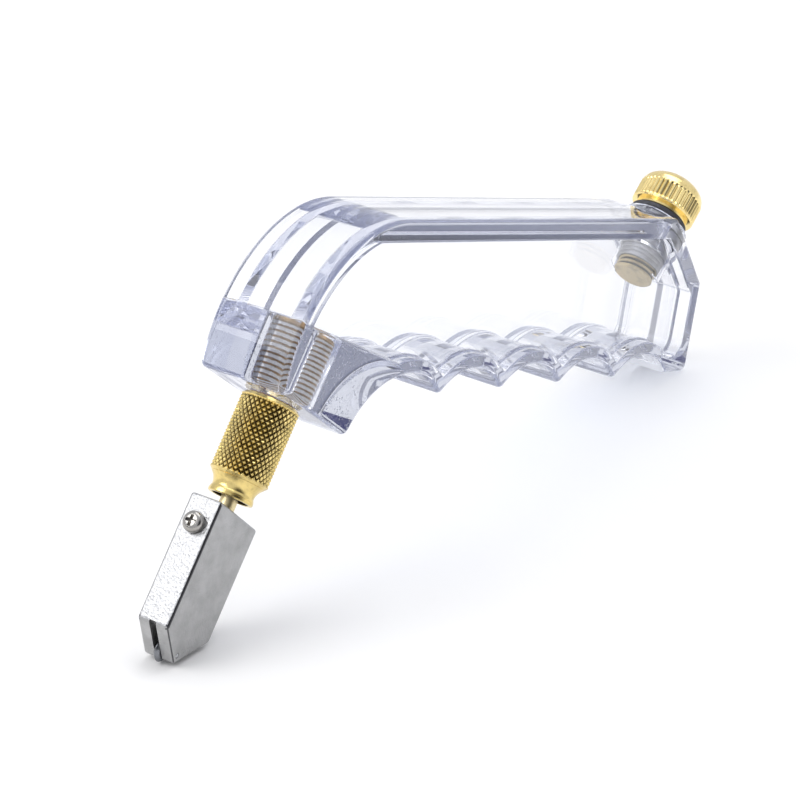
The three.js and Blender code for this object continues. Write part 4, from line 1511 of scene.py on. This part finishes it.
@dataclass
class Filler:
    """Bushing, gasket and screw cap; heights in mm out of the grip's rear facet."""

    axes: Axes
    boss_height: float = 2.4
    bushing_radius: float = 4.9
    bushing_depth: float = 5.0
    tail_radius: float = 4.5
    tail_reach: float = 2.6
    thread_bore: float = 3.97
    gasket_radius: float = 5.7
    gasket_low: float = 2.55
    gasket_high: float = 3.65
    collar_radius: float = 5.2
    collar_low: float = 3.8
    cap_radius: float = 6.3
    band_low: float = 4.7
    band_height: float = 4.2
    dome_height: float = 3.45
    serrations: int = 40
    serration_depth: float = 0.28
    shank_radius: float = 3.85
    shank_length: float = 14.6
    thread_pitch: float = 1.0
    thread_depth: float = 0.5
    thread_runout: float = 3.0

    @property
    def band_high(self) -> float:
        """Height of the serrated band's upper end."""
        return self.band_low + self.band_height

    @property
    def shank_end(self) -> float:
        """Height of the shank's flat end."""
        return self.band_low - self.shank_length

    def relief(self, angle: np.ndarray, height: np.ndarray, radius: np.ndarray) -> np.ndarray:
        """Depth taken off the plain cap: round-bottomed flutes on the band, a helix on the shank.

        Flutes are saw(serrations * angle / 2pi) to a power, faded at the band's ends; the
        thread is saw(height / pitch - angle / 2pi) near the shank's end.
        """
        flutes = sawtooth(self.serrations * angle / TAU) ** 1.4
        low = np.clip((height - self.band_low - 0.25) / 0.25, 0, 1)
        high = np.clip((self.band_high - 0.1 - height) / 0.35, 0, 1)
        on_band = radius > self.cap_radius - 0.02
        thread = sawtooth(height / self.thread_pitch - angle / TAU) ** 0.8
        start = np.clip((height - self.shank_end - 0.5) / 0.2, 0, 1)
        end = np.clip((self.shank_end + self.thread_runout - height) / 0.5, 0, 1)
        on_shank = np.abs(radius - self.shank_radius) < 0.02
        return np.where(on_band, self.serration_depth * flutes * low * high, 0.0) + np.where(
            on_shank, self.thread_depth * thread * start * end, 0.0)

    def cap_profile(self) -> np.ndarray:
        """Shank with a chamfered flat end, collar, band, shoulder and a dome.

        The dome is an ellipse quarter: radius falls as cos a, height rises as sin a.
        """
        shank = rows(
            ((0.3, self.shank_end), (self.shank_radius - 0.35, self.shank_end), 4),
            ((self.shank_radius - 0.35, self.shank_end), (self.shank_radius, self.shank_end + 0.35), 3),
            ((self.shank_radius, self.shank_end + 0.35), (self.shank_radius, self.shank_end + 4.5), 52),
            ((self.shank_radius, self.shank_end + 4.5), (self.shank_radius, self.collar_low), 6),
            ((self.shank_radius, self.collar_low), (self.collar_radius - 0.15, self.collar_low), 2),
            ((self.collar_radius - 0.15, self.collar_low), (self.collar_radius, self.collar_low + 0.15), 2),
            ((self.collar_radius, self.collar_low + 0.15), (self.collar_radius, self.band_low), 3),
            ((self.collar_radius, self.band_low), (self.cap_radius - 0.25, self.band_low), 3),
            ((self.cap_radius - 0.25, self.band_low), (self.cap_radius, self.band_low + 0.25), 3),
            ((self.cap_radius, self.band_low + 0.25), (self.cap_radius, self.band_high - 0.1), 22),
        )
        a = np.linspace(0.0, math.pi / 2, 30)
        dome = np.stack([
            (self.cap_radius - 0.1) * np.cos(a),
            self.band_high - 0.1 + 0.1 * np.minimum(a * 4, 1) + self.dome_height * np.sin(a),
        ], axis=1)
        dome[-1, 0] = 0.02
        return np.concatenate([shank, dome[1:]])

    def cap(self) -> bpy.types.Mesh:
        """The cap and its shank, in one piece."""
        return revolve(self.axes, self.cap_profile(), self.serrations * 8, False, self.relief)

    def bushing(self) -> bpy.types.Mesh:
        """Sleeve with two anchor grooves round its outside."""
        r = self.bushing_radius
        b = self.thread_bore
        low = -self.bushing_depth - self.tail_reach
        tail = self.tail_radius
        profile = [[b, low], [tail - 0.15, low], [tail, low + 0.15]]
        for z in (low + 0.9, low + 1.7):
            profile += [[tail, z - 0.2], [tail - 0.18, z], [tail, z + 0.2]]
        step = -self.bushing_depth
        profile += [[tail, step], [r - 0.2, step], [r, step + 0.2]]
        for z in (-3.2, -0.6):
            profile += [[r, z - 0.5], [r - 0.35, z - 0.35], [r - 0.35, z + 0.35], [r, z + 0.5]]
        profile += [[r, self.boss_height - 0.2], [r - 0.2, self.boss_height], [b, self.boss_height]]
        return revolve(self.axes, np.array(profile), 96, True)

    def paint_end(self, mesh: bpy.types.Mesh) -> None:
        """Give the threaded end of the shank the duller second material."""
        below = heights_of(mesh, self.axes) < self.shank_end + self.thread_runout + 1.0
        mesh.polygons.foreach_set("material_index", below.astype(np.int32))

    def build(self, finishes: Finishes) -> None:
        """Make the bushing, the gasket and the cap."""
        placement = Placement("grip", "nickel", ("filler_bushing",))
        finished("filler_sleeve", self.bushing(), (finishes.nickel,), placement)
        section = rounded_section(
            self.thread_bore, self.gasket_radius, self.gasket_low, self.gasket_high, 0.3)
        gasket = revolve(self.axes, section, 96, True)
        finished("cap_seal", gasket, (finishes.rubber,), Placement("cap_seat", "rubber", ("cap_gasket",)))
        placement = Placement("cap", "cap_brass", ("filler_cap",))
        cap = finished("brass_cap", self.cap(), (finishes.cap_brass, finishes.cap_end_brass), placement)
        self.paint_end(cap.data)


# --- Studio --------------------------------------------------------------------------------


@dataclass(frozen=True)
class Softbox:
    """A square area light that looks at a point of the part.

    Args:
        name: the light's name.
        place: where it stands, in metres.
        target: the point that it faces, in metres.
        size: its side in metres.
        power: its power in watts.
        tint: its colour.
    """

    name: str
    place: tuple[float, float, float]
    target: tuple[float, float, float]
    size: float
    power: float
    tint: tuple[float, float, float] = (1.0, 1.0, 1.0)

    def build(self) -> None:
        """Add the light."""
        data = bpy.data.lights.new(self.name, "AREA")
        data.shape = "SQUARE"
        data.size = self.size
        data.energy = self.power
        data.color = self.tint
        lamp = bpy.data.objects.new(self.name, data)
        bpy.context.scene.collection.objects.link(lamp)
        back = np.array(self.place) - np.array(self.target)
        back = back / np.linalg.norm(back)
        side = np.cross([0.0, 0.0, 1.0], back)
        side = side / np.linalg.norm(side)
        lamp.matrix_world = matrix_of(side, np.cross(back, side), back, np.array(self.place))


def matrix_of(x: np.ndarray, y: np.ndarray, z: np.ndarray, place: np.ndarray) -> Matrix:
    """The 4 x 4 matrix with these columns."""
    return Matrix(np.vstack([np.stack([x, y, z, place], axis=1), [0.0, 0.0, 0.0, 1.0]]).tolist())


@dataclass
class Studio:
    """Pale floor, soft light and the camera."""

    azimuth: float = math.radians(-57.381)
    elevation: float = math.radians(24.886)
    roll: float = math.radians(3.429)
    distance: float = 0.5798
    aim_right: float = 0.0066
    aim_up: float = -0.0158
    lens: float = 147.7
    sky: tuple[float, float, float] = (0.77, 0.785, 0.835)
    dark_side: tuple[float, float, float] = (-0.27, -0.83, 0.39)
    dark_tone: tuple[float, float, float] = (0.035, 0.037, 0.045)

    def camera(self) -> None:
        """The camera on a sphere round the part's middle, rolled a little, aimed beside it.

        With azimuth a and elevation e the camera's back axis is
        (sin a cos e, -cos a cos e, sin e).
        """
        a, e, r = self.azimuth, self.elevation, self.roll
        back = np.array([math.sin(a) * math.cos(e), -math.cos(a) * math.cos(e), math.sin(e)])
        level = np.array([math.cos(a), math.sin(a), 0.0])
        upright = np.cross(back, level)
        right = math.cos(r) * level + math.sin(r) * upright
        up = -math.sin(r) * level + math.cos(r) * upright
        place = back * self.distance - right * self.aim_right - up * self.aim_up
        data = bpy.data.cameras.new("camera")
        data.lens = self.lens
        data.sensor_width = 36.0
        data.clip_start = 0.01
        data.clip_end = 20.0
        camera = bpy.data.objects.new("camera", data)
        bpy.context.scene.collection.objects.link(camera)
        camera.matrix_world = matrix_of(right, up, back, place)
        bpy.context.scene.camera = camera

    def floor(self) -> None:
        """A wide square of white paper under the part."""
        reach = 6.0
        corners = reach * np.array([[-1.0, -1.0, 0.0], [1.0, -1.0, 0.0], [1.0, 1.0, 0.0], [-1.0, 1.0, 0.0]])
        mesh = bpy.data.meshes.new("studio_floor")
        mesh.from_pydata(corners.tolist(), [], [[0, 1, 2, 3]])
        mesh.materials.append(PaleFloor().material())
        floor = bpy.data.objects.new("studio_floor", mesh)
        bpy.context.scene.collection.objects.link(floor)
        floor.location.z = -0.0001

    def world(self) -> None:
        """A pale, slightly blue sky that darkens softly towards the open side of the studio."""
        sky = Shader("studio_sky", bpy.data.worlds)
        ray = sky.node("ShaderNodeTexCoord").outputs["Generated"]
        facing = sky.value(
            "ShaderNodeVectorMath", {"operation": "DOT_PRODUCT"}, {0: ray, 1: self.dark_side}, "Value")
        tone = sky.mix(facing.step(0.72, 0.95), rgba(self.sky), rgba(self.dark_tone))
        background = sky.node("ShaderNodeBackground", None, {"Color": tone})
        sky.node("ShaderNodeOutputWorld", None, {"Surface": background.outputs[0]})
        bpy.context.scene.world = sky.material

    def build(self) -> None:
        """Set up the floor, lights, sky and camera."""
        self.world()
        self.floor()
        Softbox("key_light", (-0.62, 0.45, 0.70), (-0.03, 0.0, 0.02), 0.6, 3.4).build()
        Softbox("top_light", (0.30, 0.05, 1.00), (0.0, 0.0, 0.0), 0.8, 3.6).build()
        scene = bpy.context.scene
        scene.cycles.transparent_max_bounces = 2 * CLEAR_BOUNCES
        scene.cycles.max_bounces = CLEAR_BOUNCES
        scene.cycles.transmission_bounces = CLEAR_BOUNCES
        scene.cycles.glossy_bounces = CLEAR_BOUNCES // 2
        scene.view_settings.view_transform = "Standard"
        scene.view_settings.look = "None"
        self.camera()


# --- The whole part ------------------------------------------------------------------------


def grip_axes(barrel: Axes, grip_up: np.ndarray) -> Axes:
    """The grip's frame, from the barrel's, which stands on the nose face.

    Args:
        barrel: the barrel's frame.
        grip_up: unit normal of the grip's flat top.

    Returns:
        The grip's frame.
    """
    shape = Grip(barrel, barrel, barrel)
    lean = shape.nose_lean
    base = shape.nose_front + shape.barrel_setback * np.array([math.cos(lean), -math.sin(lean)])
    turned = Axes(barrel.origin, grip_up)
    origin = turned.place(np.array([-base[0], 0.0, -base[1]]))
    return Axes(origin, grip_up)


def main() -> None:
    """Build every piece of the cutter, then the studio round it."""
    logging.basicConfig(level=logging.INFO, format="%(name)s: %(message)s")
    barrel = joint_axes("head_swivel")
    filler = joint_axes("cap_turn")
    wheel = joint_axes("wheel_spin")
    top = next(m for m in frame["record"]["mounts"] if m["name"] == "grip_top")
    grip = grip_axes(barrel, np.array(top["axis"], float))
    finishes = Finishes()
    Grip(grip, barrel, filler).build(finishes)
    Barrel(barrel).build(finishes)
    OilValve(barrel).build(finishes)
    CutterHead(barrel, wheel).build(finishes)
    Filler(filler).build(finishes)
    Studio().build()


if __name__ == "__main__":
    main()
